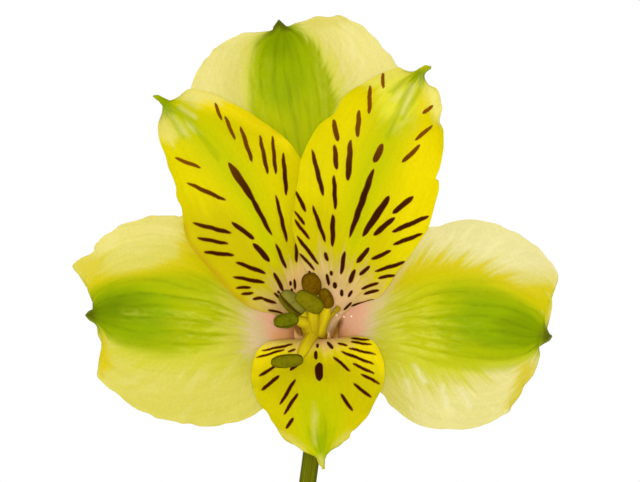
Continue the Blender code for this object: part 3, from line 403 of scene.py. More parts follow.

# Coloured zones of each petal, painted in this order: the colour, how soft the zone's edge is, how far
# it runs out along the veins (below 0: along the satin strokes), how strong it is, and its outline.
# The two brown marks are painted shade in the gaps beside the stamens' bundle; each lies on an outer and an
# inner petal.
LEFT_GAP_SHADE = ("umber_painted_shade", 0.7, 0.1, 0.9, (-3.5, 0.5, -2.6, 0.4, -1.8, -0.6, -1.5, -1.5, -2.2, -1.6, -3.2, -0.6))
RIGHT_GAP_SHADE = ("umber_painted_shade", 0.7, 0.1, 0.9, (
    4.2, 1.4, 3.3, 0.9, 2.6, -0.3, 2, -1.8, 2.7, -1.9, 3.6, -0.6, 4.3, 0.6))
ZONES = {
    "outer_top": (
        ("straw", 5, -1.6, 0.7, (
            -14, 30, -14, 37, -12, 42.4, -9, 44.2, -5, 46.2, 0, 45, 3, 42.8, 4.6, 40, 6, 36, 6.6, 30, 4, 28,
            -7, 24)),
        ("cream_green", 2.2, -1.8, 0.8, (
            -11, 30, -11.2, 38, -10.6, 42.4, -8.6, 44.2, -5, 46.2, -1.4, 44.8, 0.9, 42.8, 2.4, 40.6,
            4, 37.5, 4.8, 34, 4, 28, -7, 24)),
        ("leaf_light", 1.5, -1, 1, (
            -9.7, 30, -9.9, 36, -9.5, 40, -8.9, 42.6, -7, 44.4, -5.6, 46.4, -2.6, 44.6, -0.4, 42.6,
            0.9, 40.6, 2.1, 37.4, 3.2, 34, 2.6, 30, 0, 24, -5.5, 22)),
        ("lime", 2, 0.6, 0.5, (-10.1, 39, -9.9, 33, -9, 30, -4, 30, -6, 33.4, -8.2, 36, -8.7, 39)),
        # Painted light: a paler green where the inner petals shade the top petal's lower part.
        ("lime_painted_light", 6, 1.4, 0.15, (-9.4, 33, -5, 31.6, 0, 32.6, 3.4, 34, 4, 26, -2, 20, -10, 24)),
        ("leaf", 2.8, 1.4, 0.6, (
            -9, 34.4, -9.2, 37, -8.8, 41, -7.4, 43.6, -5.6, 46.4, -3, 44.8, -1.6, 43, -0.5, 40.6,
            -0.4, 37.8, -1.4, 35.4, -3.4, 33.8, -6.4, 33)),
        ("leaf_mid", 3.6, 1, 0.8, (-8.2, 42.8, -5.6, 46.8, -2.6, 43.8, -3.4, 40.4, -6.8, 40.2)),
        ("gold_light", 1.4, -0.6, 0.35, (-1.6, 46, 0, 47, 4.6, 47, 5, 45.6, 2, 44.8, -1, 44.6)),
        ("mucro", 1, 0.3, 0.9, (
            -7.7, 43.7, -6.5, 45, -5.6, 46.8, -4.4, 45.4, -3.6, 44.5, -4.6, 44.3, -5.7, 44.9, -6.6, 44)),
    ),
    "outer_left": (
        ("cream_warm", 6, 1.5, 1, (-37, 2, -34, -6, -30, -12, -22, -16, -8, -15, -3, -4, -12, 2, -24, 4)),
        ("cream_warm", 5, 2, 0.85, (
            -37, 9.4, -34, 10.8, -28, 11.8, -22, 13.2, -18, 17, -13, 14, -13, 6, -30, 5, -35, 4)),
        ("gold_light", 1.5, -0.9, 0.9, (
            -34.6, 5, -33.8, 7.6, -28, 8.3, -24, 9.2, -20.8, 10.4, -19.6, 15.4, -17, 17, -13, 12, -11, 6,
            -20, 2, -30, 2)),
        ("gold", 2.6, 1.6, 0.95, (
            -34.4, 4.6, -33.6, 6.8, -28, 7.6, -24, 8.6, -20, 10, -17.4, 12.2, -14.4, 10.2, -11.4, 6.6,
            -14, 2, -30, 1)),
        ("lime_cream", 3, -2.4, 0.6, (
            -31, -1.5, -30, -4.6, -24, -6.6, -18, -6.6, -11, -6.8, -9.6, -3, -16, 0)),
        ("dusk", 3.4, 1.4, 0.95, (
            -16.4, 6.4, -12.4, 5.6, -8, 3, -6, -3, -9.4, -8.4, -12.4, -5.2, -16.4, -3.4)),
        ("leaf_light", 2.8, 1.8, 1, (
            -33.8, 5.2, -31, 6.4, -28, 7, -24, 7.8, -20, 8, -16.4, 7.6, -14.4, 5, -14, 1.4, -15.2, -2.2,
            -18, -3.7, -22, -4.3, -26, -3.8, -30, -2.5, -33, -0.4)),
        ("leaf_pale", 4, 1.6, 0.45, (-20.6, 7, -14.4, 6, -13.6, 1.4, -14.8, -3, -20.6, -4.4, -19, 1)),
        ("leaf", 3.2, 2, 1, (
            -34.8, 1.8, -33, 4.8, -31, 5.9, -28, 6.5, -25.4, 6.1, -22.6, 4, -21.6, 1.5, -23.4, -1,
            -26, -2.2, -29, -2, -32, -0.4)),
        ("leaf_mid", 3, 1.6, 0.95, (
            -34.8, 1.8, -32.8, 4.4, -30, 5.4, -27.2, 5.6, -25.2, 3.6, -26.6, 1, -30.6, -0.2, -33, 0.6)),
        ("leaf_dark", 3, 1.2, 0.85, (-34.8, 1.8, -33, 3.6, -30.6, 4.6, -28.8, 3.8, -29.6, 1.6, -32.6, 0.8)),
        ("mucro", 1.2, 0.3, 0.9, (-35, 1.7, -33.2, 2.9, -32.9, 0.7)),
        ("gold_light", 1.6, 0.6, 0.95, (-32, -0.8, -30.6, -6, -32.4, -7.8, -33.2, -4)),
        ("gold_light", 2.4, 0.6, 0.6, (-37, 9.6, -34.6, 11, -31.4, 10.8, -31.8, 8.4, -34, 6, -35.2, 7)),
        ("blush", 3.2, 0.8, 1, (-11, 2.4, -7, 4.6, -2, 3.2, -1, -3, -7, -3.2, -10.4, -4.2, -11, -1)),
        # Pink and rust painted brighter than the petal's own colour, as light against the throat's shade.
        ("pink", 2.6, 0.6, 1, (-8.8, 2.9, -3, 3.2, -0.5, -1.5, -3, -3.2, -7.4, -1.6)),
        ("rust", 1.8, 0.4, 0.8, (-6.8, -0.9, -4, 0.2, -2.2, -0.6, -2, -3.4, -6.6, -2.6)),
        LEFT_GAP_SHADE,
    ),
    "outer_right": (
        ("cream_warm", 2.6, -2.2, 0.8, (
            36.6, 5.5, 36.2, 8, 31, 8.2, 24, 10.5, 16, 12.3, 12, 11.2, 10, 5, 24, 2, 34, 0)),
        ("gold_light", 1.4, -2.2, 0.95, (
            36.2, 5, 35.8, 6.4, 31, 6.4, 27, 8.2, 24, 9.3, 20.6, 10.2, 16.6, 10.6, 12.6, 9.2, 9.6, 5.4,
            24, 2, 34, 0)),
        ("gold", 2.4, 1.8, 0.95, (
            35.4, 3.4, 34.8, 5.1, 31, 5.2, 27, 7.1, 24, 8, 19, 8.8, 14.6, 8.4, 11.2, 5.6, 12, 2, 24, 2,
            34, 0)),
        ("dusk", 3, 1.4, 0.9, (14.6, 5.4, 10.6, 4.8, 8, 2, 8, -1.4, 11, -4.4, 16, -6, 17, -1)),
        ("straw", 4, -1.6, 0.95, (
            8, -2, 8, -10, 12, -14, 15, -12, 13.6, -9.4, 19, -9.8, 25, -8.2, 28, -6, 14, 0)),
        ("cream_warm", 5, 0.6, 0.3, (9, -10, 14, -16, 24, -17, 31, -13, 29.4, -7, 14, -7)),
        ("lime_cream", 3.8, -2.2, 0.85, (
            8.6, -1.5, 9, -5.6, 10.6, -7.4, 13, -7.8, 16.4, -8.2, 20, -7.8, 24.6, -6.7, 24.6, -3, 14, 0)),
        ("gold_light", 1.6, 0.4, 0.7, (9.2, -3.4, 9.6, -7.6, 10.4, -7.4, 10.6, -4.6, 10, -3)),
        # Painted highlights: short whitish streaks of satin sheen.
        ("painted_highlight", 0.9, 0.2, 0.65, (14.4, -5.6, 15, -5.7, 16.9, -8.3, 16.4, -8.7, 15.6, -7.8)),
        ("painted_highlight", 0.9, 0.2, 0.6, (13.2, -7.8, 13.8, -7.9, 14.6, -9.5, 14.1, -9.7)),
        ("painted_highlight", 0.9, 0.2, 0.6, (18.6, -8.5, 19.2, -8.6, 20.1, -11.9, 19.6, -12.3)),
        ("painted_highlight", 0.9, 0.2, 0.6, (21.3, -9, 21.9, -9.1, 23.5, -12, 23, -12.4)),
        ("leaf_pale", 2.6, 1.8, 0.95, (
            33.9, 1.4, 31.4, 4, 29, 5.4, 24, 7.4, 19, 7.2, 13.8, 5.8, 12, 3, 12.4, -0.4, 15, -3.6,
            17.6, -5.5, 21, -6.1, 27, -6.2, 31, -5.8, 34.2, -3.6)),
        ("leaf_light", 2.2, 1.8, 1, (
            33.8, 1.6, 31.4, 3.4, 29, 4.8, 26, 6.2, 22, 6.7, 19, 5.6, 17.6, 2, 18.2, -2, 20.4, -4.3,
            24, -5.1, 28, -5.2, 31, -4.6, 33.8, -3)),
        ("leaf", 2.8, 1.8, 1, (
            35.5, -1.4, 33, 1.8, 30, 3.4, 26, 4.5, 22.4, 4.3, 20.6, 2, 22, -1.2, 25, -2.8, 29, -3.6,
            33, -2.9)),
        ("leaf_mid", 3, 1.4, 0.95, (
            35.6, -1.5, 33, 1.2, 30.2, 2.6, 27.4, 1, 28, -1.6, 31, -2.9, 33.8, -2.6)),
        ("lime", 0.9, 0.5, 0.5, (
            33.4, -3.4, 28, -5.3, 22, -5.3, 17.4, -4.9, 17.6, -5.9, 23, -6.4, 29, -6.1, 33.6, -4.2)),
        ("mucro", 1.2, 0.3, 0.9, (35.8, -1.5, 34.2, 0.4, 33.8, -1.4, 34, -2.8)),
        ("gold_light", 1.8, 0.8, 0.85, (
            33.4, -5.4, 32.6, -8.4, 30.6, -11.8, 29, -13, 28.4, -12.2, 29.6, -9.6, 30, -6.6, 31, -5.4)),
        ("blush", 2.6, 0.8, 1, (9.6, 4.2, 7, 4.8, 2, 3.2, 1, -3, 6, -3.2, 8.8, -1)),
        ("blush", 1.6, -0.8, 0.6, (8.6, 4.6, 9.4, 6, 12.6, 10, 13.8, 9.6, 11.4, 5.6, 9.8, 2.6)),
        # Pink and rust painted brighter than the petal's own colour, as light against the throat's shade.
        ("pink", 2.4, 0.6, 1, (8.4, 4.4, 3, 3.2, 0.5, -1.5, 3, -3.2, 7.2, -1.4)),
        ("rust", 1.8, 0.4, 0.8, (6.6, -1.2, 4.4, -0.2, 2.6, -0.8, 2, -3.4, 6.4, -2.8)),
        RIGHT_GAP_SHADE,
    ),
    "inner_left": (
        ("yellow_deep", 7, 1.5, 0.95, (-21, 18, -13, 18, -5, 16, 0, 16, 0, 0, -8, 0, -14, 3, -21, 10)),
        ("lemon", 3, 1.5, 0.9, (
            -24, 34.8, -19, 34.6, -12.5, 31, -8.6, 24.5, -6, 16, -5, 10, -7.4, 9.4, -11, 15.5, -14.6, 21,
            -19.6, 26, -23, 30.6)),
        ("yellow_green", 2.6, 1.5, 0.85, (
            -24, 34.8, -19.6, 32.4, -14.6, 29, -10.8, 23.5, -7.4, 15.6, -6, 11, -7.6, 12, -11.4, 19.5,
            -15.6, 25, -19, 28.6, -22.6, 31.6)),
        ("leaf_light", 0.9, 0.5, 0.75, (
            -23.4, 34, -20.8, 32.9, -18.4, 31, -14.2, 25.4, -14.9, 25.2, -19, 30.4, -21.2, 32.2,
            -23, 33.2)),
        ("leaf_light", 0.9, 0.5, 0.7, (
            -23.2, 33.8, -21.9, 32.2, -20.4, 29.9, -19.6, 28.4, -20.1, 28.2, -21.1, 29.5, -22.6, 32.2)),
        # Painted highlights: faint whitish streaks of satin sheen.
        ("painted_highlight", 0.8, 0.5, 0.18, (
            -21.6, 31.9, -19.8, 30, -18.9, 28.8, -19.4, 28.6, -20.6, 29.9, -21.9, 31.6)),
        ("painted_highlight", 0.8, 0.5, 0.25, (-19.6, 31, -18.1, 29.8, -18.3, 29.3, -19.7, 30.4)),
        ("painted_highlight", 0.8, 0.5, 0.25, (-20.4, 33.2, -17.8, 31.6, -18, 31, -20.5, 32.6)),
        ("glow", 2, 0.5, 0.9, (
            -18, 36, -13, 34, -8.5, 31.4, -3.2, 27.6, -4.6, 26.4, -9, 29.4, -13, 31.4, -18, 33)),
        ("cream", 2, 0.8, 0.75, (
            -20.8, 34.6, -18.6, 36.2, -15.2, 35.2, -13.4, 34, -14.2, 33.4, -15.8, 33.8, -18.4, 33.2)),
        ("cream", 1.8, 0.6, 0.5, (-24, 32, -24, 28.4, -21.6, 27.6, -20.6, 28.4, -21.8, 30.6, -22.6, 32.4)),
        ("leaf", 1.6, 0.6, 0.9, (-24.6, 35, -22.4, 34.4, -21.4, 33.4, -21.6, 32.2, -22.4, 31.4, -23.2, 33)),
        # Painted shade along the curled lower margin.
        ("ochre_painted_shade", 1, 0.2, 0.8, (
            -20.6, 15.4, -20, 12.1, -16.8, 8, -12.7, 3.8, -9, 1.8, -8.4, 2.7, -12, 5.1, -15.7, 9.4,
            -18.9, 12.9, -19.5, 15.4)),
        ("beige", 3.4, 1.8, 0.9, (-10.4, 2.2, -8.8, 4.8, -5, 8.8, 0, 10.6, 2, 8, 2, 0, -4, -2, -10, 0)),
        ("beige_pink", 2.4, 1.7, 0.95, (-7.6, 1.2, -6.4, 4, -4.2, 7.6, 0, 9, 2, 8, 2, 0, -4, -2)),
        # Claw colour painted brighter than its own, as light against the throat's shade.
        ("claw", 2.4, 0.2, 0.9, (-0.6, 5.6, -3, 6, -5, 4.4, -4.6, 2.4, -1.6, -1.6, -0.4, -1)),
        ("claw", 2.2, 0.8, 0.5, (-4.6, 6.2, -3.6, 9.4, -1.6, 10.4, -0.2, 8.8, -1.2, 6)),
        LEFT_GAP_SHADE,
    ),
    "inner_right": (
        ("yellow_bright", 3.6, 1, 0.9, (14.4, 12, 11.6, 16, 13, 22, 14.2, 29, 19.4, 30, 20, 24, 17.6, 15)),
        ("yellow_bright", 3, 1, 0.7, (2, 31, 7, 36, 8.4, 34.8, 6.6, 30, 3, 27.6)),
        ("yellow_deep", 5, 1.5, 0.6, (-5, 19, 5, 18, 11, 15, 12, 9, 9, 4, 0, 0, -5, 6)),
        ("lemon", 3, 1.5, 0.9, (
            17, 39.2, 12, 37.4, 8.6, 33.4, 5.6, 26.5, 3.6, 18, 3.8, 11, 7.4, 11, 10.4, 20, 13.6, 27.5,
            17, 34)),
        ("yellow_green", 2.6, 1.5, 0.8, (
            17, 39, 13.4, 36.8, 10.4, 32.4, 7, 25.6, 5.2, 18, 5.4, 12.6, 6.6, 13, 9, 20.6, 12, 27.4,
            14.2, 31.6, 16.2, 35.4)),
        ("yellow_bright", 1.4, 0.5, 0.8, (15.4, 37, 16.6, 36.4, 17.4, 33, 16.6, 30.6, 15, 32.6)),
        ("cream_lit", 1.8, 0.6, 0.85, (16.2, 37.6, 19.6, 34.4, 19.4, 30.6, 17.9, 30.9, 16.6, 34.6)),
        ("cream_lit", 2.6, 0.8, 0.6, (14, 39.2, 11, 39, 7.6, 36.8, 10, 35.4, 13.4, 36.8)),
        ("straw_green", 3, 1.2, 0.8, (8.6, 36.6, 13, 37.8, 15.8, 36.4, 14.6, 32.4, 12, 30.6, 9.6, 32.6)),
        ("leaf_light", 0.8, 0.5, 0.7, (
            15.4, 38.2, 13.4, 37.4, 11, 35.2, 11.4, 34.8, 13.8, 36.9, 15.6, 37.8)),
        ("leaf_light", 0.9, 0.5, 0.8, (
            15.6, 38, 14.4, 37.2, 12.7, 34.2, 11.6, 31.4, 10.2, 28.2, 10.9, 28.1, 12.4, 31.4, 13.5, 34,
            15.2, 36.9)),
        ("leaf_light", 0.8, 0.5, 0.6, (
            15.8, 37.8, 15, 35.2, 13.5, 33, 12.6, 31, 13.2, 30.9, 14.2, 32.8, 15.7, 35, 16.2, 37.4)),
        # Painted highlights: faint whitish streaks of satin sheen.
        ("painted_highlight", 0.9, 0.5, 0.25, (14.2, 36.4, 13.6, 34.8, 12.6, 32, 13.2, 31.8, 14.2, 33.8, 14.8, 35.8)),
        ("painted_highlight", 0.9, 0.5, 0.2, (12.9, 36, 11.3, 34.2, 11.9, 33.8, 12.9, 35)),
        ("leaf", 1.6, 0.6, 0.9, (17.6, 39.2, 15.4, 38.6, 14.6, 37.4, 15.6, 36.4, 16.6, 37.6)),
        ("beige", 3.4, 2, 0.85, (11.2, 5.2, 9.2, 7.6, 6, 9.4, 0.8, 11.6, -3, 9.8, -2, 0, 4, -2, 10, 2)),
        ("beige_pink", 2.4, 1.7, 0.95, (8.4, 3.2, 7, 6.2, 4, 8.2, 0.6, 9.4, -2.6, 8.4, -2, 0, 4, -2)),
        # Painted light: the pale claw brighter than its own colour, against the throat's shade.
        ("claw_pale_painted_light", 2.4, 0.2, 1, (0.6, 5.6, 3, 6.2, 5.6, 4.8, 5.2, 2.6, 3.4, 0.4, 2.2, -2.4, 0.4, -2)),
        RIGHT_GAP_SHADE,
    ),
    "inner_bottom": (
        ("glow", 4, 0.8, 0.9, (-11, -8, -8, -7, -3, -4.6, 0, -4.2, 3, -4.6, 8, -6, 11.4, -7, 9, 0, -9, 0)),
        ("yellow_deep", 3, 1, 0.7, (-2.6, -5, -4, -9, -2, -12, 3, -12, 4.4, -8, 2.6, -5)),
        ("lemon", 3, 1.2, 0.9, (-3, -8, -3.6, -14, -1.6, -17.6, 1.1, -21, 3, -17.4, 4, -13, 3.6, -8)),
        ("yellow_green", 3.4, 1, 0.85, (
            -1.8, -10, -3, -14, -2.4, -17.4, 1.1, -20.8, 3.6, -17, 3.8, -14, 2.8, -10.6)),
        ("cream", 1.4, 0.4, 0.4, (-5.8, -15.6, -3, -18.2, -1.2, -19.4, -1.6, -18.2, -3.6, -16.6)),
        ("cream", 1.4, 0.4, 0.4, (5.4, -15.6, 3.4, -18.2, 2.2, -18.8, 2.8, -17.6, 4.2, -16.2)),
        ("leaf_light", 1.8, 1, 0.8, (
            -1.2, -16.2, -0.4, -18.6, 0.6, -20, 1.4, -20.2, 1.9, -18, 2.4, -15.4, 1.4, -13.4, 0.4, -15)),
        ("leaf", 1.3, 0.5, 0.7, (0.2, -16.6, 0.3, -18.6, 1, -19.6, 1.5, -17.8, 1.3, -16.2)),
        ("straw", 0.9, 0.2, 0.7, (0.3, -19.4, 0.6, -21, 1.4, -21.4, 1.2, -20, 0.9, -19.2)),
        ("straw", 0.9, 0.3, 0.5, (
            -0.35, -11.4, -0.6, -14.4, -0.4, -17.8, 0.1, -17.8, 0.1, -14.4, -0.15, -11.8)),
        ("beige_lit", 2, 0.8, 0.9, (
            -9, -1, -7.6, -2.7, -4.4, -3.4, -2.2, -3.7, 2.6, -3.6, 4.8, -2.8, 7.2, -1.6, 4, 2, -4, 2)),
        # Claw colour painted brighter than its own, as light against the throat's shade.
        ("claw", 1.4, 0.6, 0.8, (-4.4, -1.6, -2.6, -2.5, 2.6, -2.8, 3.8, -1.9, 3, 2, -4, 2)),
    ),
}

# Where painted satin highlights show on a petal as pale strokes: how soft the edge is, how strong, and the
# outline.
SATIN_HIGHLIGHT_AREAS = {
    "outer_top": (
        (3, 0.8, (3.6, 28, 4.2, 36, 2.4, 42, 2, 46.6, 10, 43, 14, 37, 10, 30)),
        (3, 0.5, (-18, 32, -18.6, 38, -12, 43.4, -10.4, 42, -11, 34, -12, 30)),
    ),
    "outer_left": (
        (4, 0.28, (-30, -5, -22, -5.6, -12, -4, -8, -12, -20, -15, -31, -10)),
        (3, 0.5, (-35, 10, -30, 15, -22, 16.4, -21, 13.4, -28, 10.6)),
    ),
    "outer_right": (
        (3, 0.6, (12, -5.6, 17, -7, 24, -7.4, 31, -7.6, 28, -12.6, 20, -15, 11, -12)),
        (3, 0.9, (35, 9, 30, 13.6, 20, 16, 15, 13.4, 24, 11.4, 30, 8.6)),
    ),
    "inner_left": (
        (2, 0.3, (-22.8, 33.2, -20, 32, -17, 29, -18.6, 27, -22.4, 29)),
    ),
    "inner_right": (
        (2.4, 0.25, (17.4, 39, 9, 36.6, 9, 30, 13, 28.4, 17.6, 33)),
    ),
    "inner_bottom": (
        (0.9, 0.45, (-0.7, -12.4, -0.9, -15, -0.3, -16, 0.2, -15.2, 0.3, -13, -0.1, -12)),
    ),
}
# Where pale patches show between the veins, likewise.
MOTTLED = {
    "outer_top": (
        (3, 0.25, (-11, 30, -11.4, 42, -7, 40, -7.5, 32)),
        (3, 0.25, (4.5, 30, 1.6, 41, -1, 41, 0.5, 32)),
    ),
    "outer_left": (
        (1.6, 0.3, (-29, 1.2, -29, 2.6, -22, 2.8, -18, 2.4, -18, 0, -23, 1.2)),
        (4, 0.5, (-20, 3.4, -12, 5, -8, 0, -12, -6, -20, -4.4)),
    ),
    "outer_right": (
        (1.6, 0.15, (17, 3, 24.6, 1.4, 25, 0.2, 18, -0.6)),
        (5, 0.65, (8, 4.4, 13, 4.8, 19, 2, 21, -2, 18, -5.4, 14, -6.6, 9, -4.4)),
    ),
}
# How far, in millimetres out for each one along, the strokes lean away from the midrib, on each side.
LEANS = {"outer_top": (0.2, 0.6), "outer_left": (0.7, 0.2), "outer_right": (0.6, 0.75),
         "inner_left": (0.1, 0.1), "inner_right": (0.1, 0.1), "inner_bottom": (0.0, 0.0)}

# Each stamen: its place in the bundle (None is the middle), the way of its filament after the bundle,
# the two ends of its anther, the anther's width, how far along it the filament enters, where its slit
# faces (degrees round it), and how brown, how olive, how grey and how open it is.
STAMENS = {
    "stamen_1": (205, ((-0.8, -0.9, -1.6), (-1.5, 0.5, 1.2)),
                 (-2.6, 1.35, 3.9), (-6.3, 0.75, 4.1), 2.2, 0.18, -60, 0.05, 0.1, 0.0, 0.25),
    "stamen_2": (150, ((-1.2, -0.4, -1.6), (-1.6, 1.1, 0.4)),
                 (-1.9, 2.1, 1.7), (-5.2, 5.2, 1.8), 2.9, 0.2, -32, 0.0, 0.3, 0.8, 1.0),
    "stamen_3": (None, ((-0.3, -0.6, -1.8), (-0.4, 0.8, 1.6)),
                 (0.95, 2.6, 5.3), (-2.9, 5.1, 5.5), 2.65, 0.4, 75, 0.1, 0.9, 0.0, 0.2),
    "stamen_4": (90, ((-0.1, 0.4, -1.8), (-0.3, 3.0, 0.2)),
                 (-0.3, 4.7, 1.2), (-1.0, 8.1, 1.8), 2.9, 0.2, -80, 1.0, 1.0, 0.0, 0.3),
    "stamen_5": (25, ((0.5, -0.6, -1.8), (1.1, 1.2, 0.7)),
                 (2.15, 2.9, 2.4), (0.9, 5.75, 2.8), 2.0, 0.2, 60, 0.95, 1.0, 0.0, 0.3),
    "stamen_6": (270, ((-0.5, -1.2, -1.2), (-1.35, -2.4, 1.8)),
                 (-1.9, -4.75, 4.4), (-6.7, -5.2, 4.6), 2.0, 0.14, 70, 0.1, 0.6, 0.0, 0.25),
}
STYLE = (330, ((1.0, -1.2, -2.2), (1.75, 0.9, -1.2), (3.1, 2.6, -0.2)))
BUNDLE = ((0.0, -1.95, -13.2), (-0.1, -1.5, -9.0), (-0.3, -0.7, -5.0))
# Brown marks of painted shade in the throat's gaps, as the streaks, and drops of nectar, near-white as
# painted glints: right, up and radius.
THROAT_GAP_SHADES = ((3.85, 1.0, 2.3, -1.7, 0.95, 0.8), (-3.1, 0.3, -1.9, -1.3, 0.95, 0.8))
NECTAR = ((3.1, 1.8, 0.17), (4.2, 1.5, 0.13), (5.3, 1.6, 0.15), (3.7, 2.15, 0.08), (4.8, 1.95, 0.07))


def colour(red, green, blue):
    """The linear colour of 8-bit sRGB values."""
    parts = [v / 255 for v in (red, green, blue)]
    return (*[v / 12.92 if v <= 0.04045 else ((v + 0.055) / 1.055) ** 2.4 for v in parts], 1.0)


# The petals' colours. Some hold more than 255, and PIGMENT brings them back below white. Painted light and
# shade among them: the claws' colours and the throat's pink and rust are brighter than their own, as
# painted light against the shade deep in the throat; a paler lime is painted light on the top petal's
# shaded lower part; the umber is painted shade in the throat's gaps, the ochre painted shade along a curled
# margin, and the near-white is painted highlights.
PALETTE = {name: colour(*values) for name, values in {
    "cream": (240, 230, 142), "cream_green": (222, 218, 80), "cream_warm": (220, 211, 92),
    "gold_light": (220, 203, 24), "gold": (211, 200, 3), "ochre_painted_shade": (200, 166, 16),
    "leaf_pale": (202, 203, 20), "leaf_light": (178, 190, 2), "leaf": (153, 178, 2),
    "leaf_mid": (138, 161, 2), "leaf_dark": (118, 144, 3), "lime": (196, 203, 8),
    "lime_cream": (208, 209, 30), "straw": (221, 212, 104), "straw_green": (240, 235, 62),
    "lime_painted_light": (214, 218, 4), "painted_highlight": (240, 232, 190), "mucro": (100, 104, 12), "dusk": (210, 204, 72),
    "umber_painted_shade": (168, 114, 40), "claw": (262, 220, 148), "blush": (235, 212, 162), "pink": (254, 201, 166),
    "rust": (252, 188, 118), "yellow": (227, 213, 2), "yellow_bright": (238, 220, 2),
    "glow": (249, 228, 14), "yellow_deep": (208, 193, 6), "lemon": (214, 208, 3),
    "yellow_green": (200, 203, 2), "beige": (217, 192, 90), "beige_lit": (240, 210, 104),
    "beige_pink": (234, 201, 129), "claw_pale_painted_light": (268, 232, 176), "cream_lit": (253, 244, 132),
}.items()}
GROUND = {
    "outer_top": PALETTE["cream"],
    "outer_left": colour(233, 222, 126),
    "outer_right": colour(234, 225, 158),
    "inner_left": PALETTE["yellow"],
    "inner_right": PALETTE["yellow"],
    "inner_bottom": colour(214, 201, 4),
}
STREAK = colour(54, 20, 0)
STREAK_RED = colour(126, 72, 2)
STREAK_EDGE = colour(134, 82, 0)
MOTTLE = colour(208, 208, 74)
# The colour of painted satin highlights.
SATIN_HIGHLIGHT = colour(234, 228, 176)
VEIN_SHADE = colour(205, 215, 120)
LIGHTER = (1.06, 1.06, 1.06, 1.0)
SHEEN = (1.0, 0.93, 0.35, 1.0)

ANTHER_GREEN = colour(79, 90, 3)
ANTHER_OLIVE = colour(113, 106, 5)
ANTHER_BROWN = colour(97, 68, 1)
ANTHER_GREY = colour(126, 119, 46)
ANTHER_SPECK = colour(190, 176, 150)
POLLEN = colour(128, 112, 12)
SLIT = colour(62, 34, 4)
FILAMENT = colour(217, 201, 12)
FILAMENT_DARK = colour(208, 177, 28)
STYLE_COLOUR = colour(158, 134, 20)

STEM_GREEN = colour(90, 93, 3)
STEM_LIGHT = colour(116, 120, 12)
WET_GREEN = colour(170, 186, 40)
CUT_WHITE = colour(206, 212, 160)
NECTARY = colour(206, 160, 104)
# The brown of painted shade in the throat's gaps.
GAP_SHADE_BROWN = colour(134, 88, 18)
# Near-white, as painted glints of the nectar drops.
NECTAR_GLINT_TINTS = colour(255, 254, 240), colour(255, 251, 222)

GLASS_TINTS = colour(249, 253, 251), colour(244, 251, 248)
WATER_TINTS = colour(248, 252, 247), colour(243, 250, 243)
FLOOR_TINTS = colour(236, 235, 231), colour(243, 242, 239)
WHITE = colour(255, 255, 255)

# Shapes


def in_world(points):
    """Points of the bloom's frame, in millimetres, as places in the world, in metres."""
    points = np.atleast_2d(np.asarray(points, float))
    return (BLOOM + points[:, (0, 2, 1)] * (1, -1, 1)) * MM


def in_bloom(points):
    """Places in the world, in metres, as points of the bloom's frame, in millimetres."""
    return ((np.asarray(points) / MM - BLOOM) * (1, -1, 1))[:, (0, 2, 1)]


def as_seen(points):
    """Where the front view shows points of the bloom's frame, at the throat's distance."""
    scale = SIGHT / (SIGHT - points[..., 2:3])
    return VIEW_MIDDLE + (points[..., :2] - VIEW_MIDDLE) * scale


def as_points(row):
    """The points as seen of a flat row of numbers."""
    return np.array(row, float).reshape(-1, 2)


def unit(vectors, least=1e-9):
    """Vectors at a length of 1, apart from those shorter than least."""
    return vectors / np.maximum(np.linalg.norm(vectors, axis=-1, keepdims=True), least)


def around(count):
    """Evenly spaced angles of a full turn."""
    return 2 * math.pi * np.arange(count) / count


def smooth(points, t):
    """The points at each t, from 0 to 1, of a Catmull-Rom curve through the points."""
    points = np.asarray(points, float)
    place = np.asarray(t) * (len(points) - 1)
    i = np.clip(place.astype(int), 0, len(points) - 2)
    f = (place - i)[:, None]
    padded = np.vstack((2 * points[0] - points[1], points, 2 * points[-1] - points[-2]))
    p0, p1, p2, p3 = (padded[i + k] for k in range(4))
    return 0.5 * (2 * p1 + (p2 - p0) * f + (2 * p0 - 5 * p1 + 4 * p2 - p3) * f ** 2
                  + (3 * p1 - p0 - 3 * p2 + p3) * f ** 3)


def lengths(points):
    """How far along a line each of its points is."""
    steps = np.linalg.norm(np.diff(points, axis=0), axis=1)
    return np.concatenate(((0.0,), np.cumsum(steps)))


def ease(values, low, high):
    """0 up to low, 1 from high on, smooth between them. low may be above high."""
    t = np.clip((np.asarray(values, float) - low) / (high - low), 0, 1)
    return t * t * (3 - 2 * t)


def grid_faces(rows, columns, closed=False):
    """Quads between rows of points; a closed grid joins its last column to its first."""
    i, j = np.meshgrid(np.arange(rows - 1), np.arange(columns if closed else columns - 1), indexing="ij")
    after = (j + 1) % columns
    return np.stack((i * columns + j, i * columns + after, (i + 1) * columns + after,
                     (i + 1) * columns + j), axis=-1).reshape(-1, 4)


def sweep(line, radii, sides):
    """Rings of points round a line, with no twist. A line that starts along X is guided by Z."""
    line = np.asarray(line, float)
    along = unit(np.gradient(line, axis=0))
    across = np.zeros_like(line)
    guide = np.array((1.0, 0.0, 0.0) if abs(along[0, 0]) < 0.8 else (0.0, 0.0, 1.0))
    for i, way in enumerate(along):
        guide = unit(guide - way * guide.dot(way))
        across[i] = guide
    other = np.cross(along, across)
    turn = around(sides)[None, :, None]
    ring = np.cos(turn) * across[:, None] + np.sin(turn) * other[:, None]
    return line[:, None] + ring * np.asarray(radii, float).reshape(len(line), -1, 1)


def closed_tube(rings, ends=None):
    """Vertices and faces of the tube through rings of points, with one point at each end."""
    rows, sides = rings.shape[:2]
    ends = (rings[0].mean(0), rings[-1].mean(0)) if ends is None else ends
    points = np.vstack((rings.reshape(-1, 3), *ends))
    faces = grid_faces(rows, sides, closed=True).tolist()
    last = (rows - 1) * sides
    for k in range(sides):
        after = (k + 1) % sides
        faces += [(rows * sides, after, k), (rows * sides + 1, last + k, last + after)]
    return points, faces


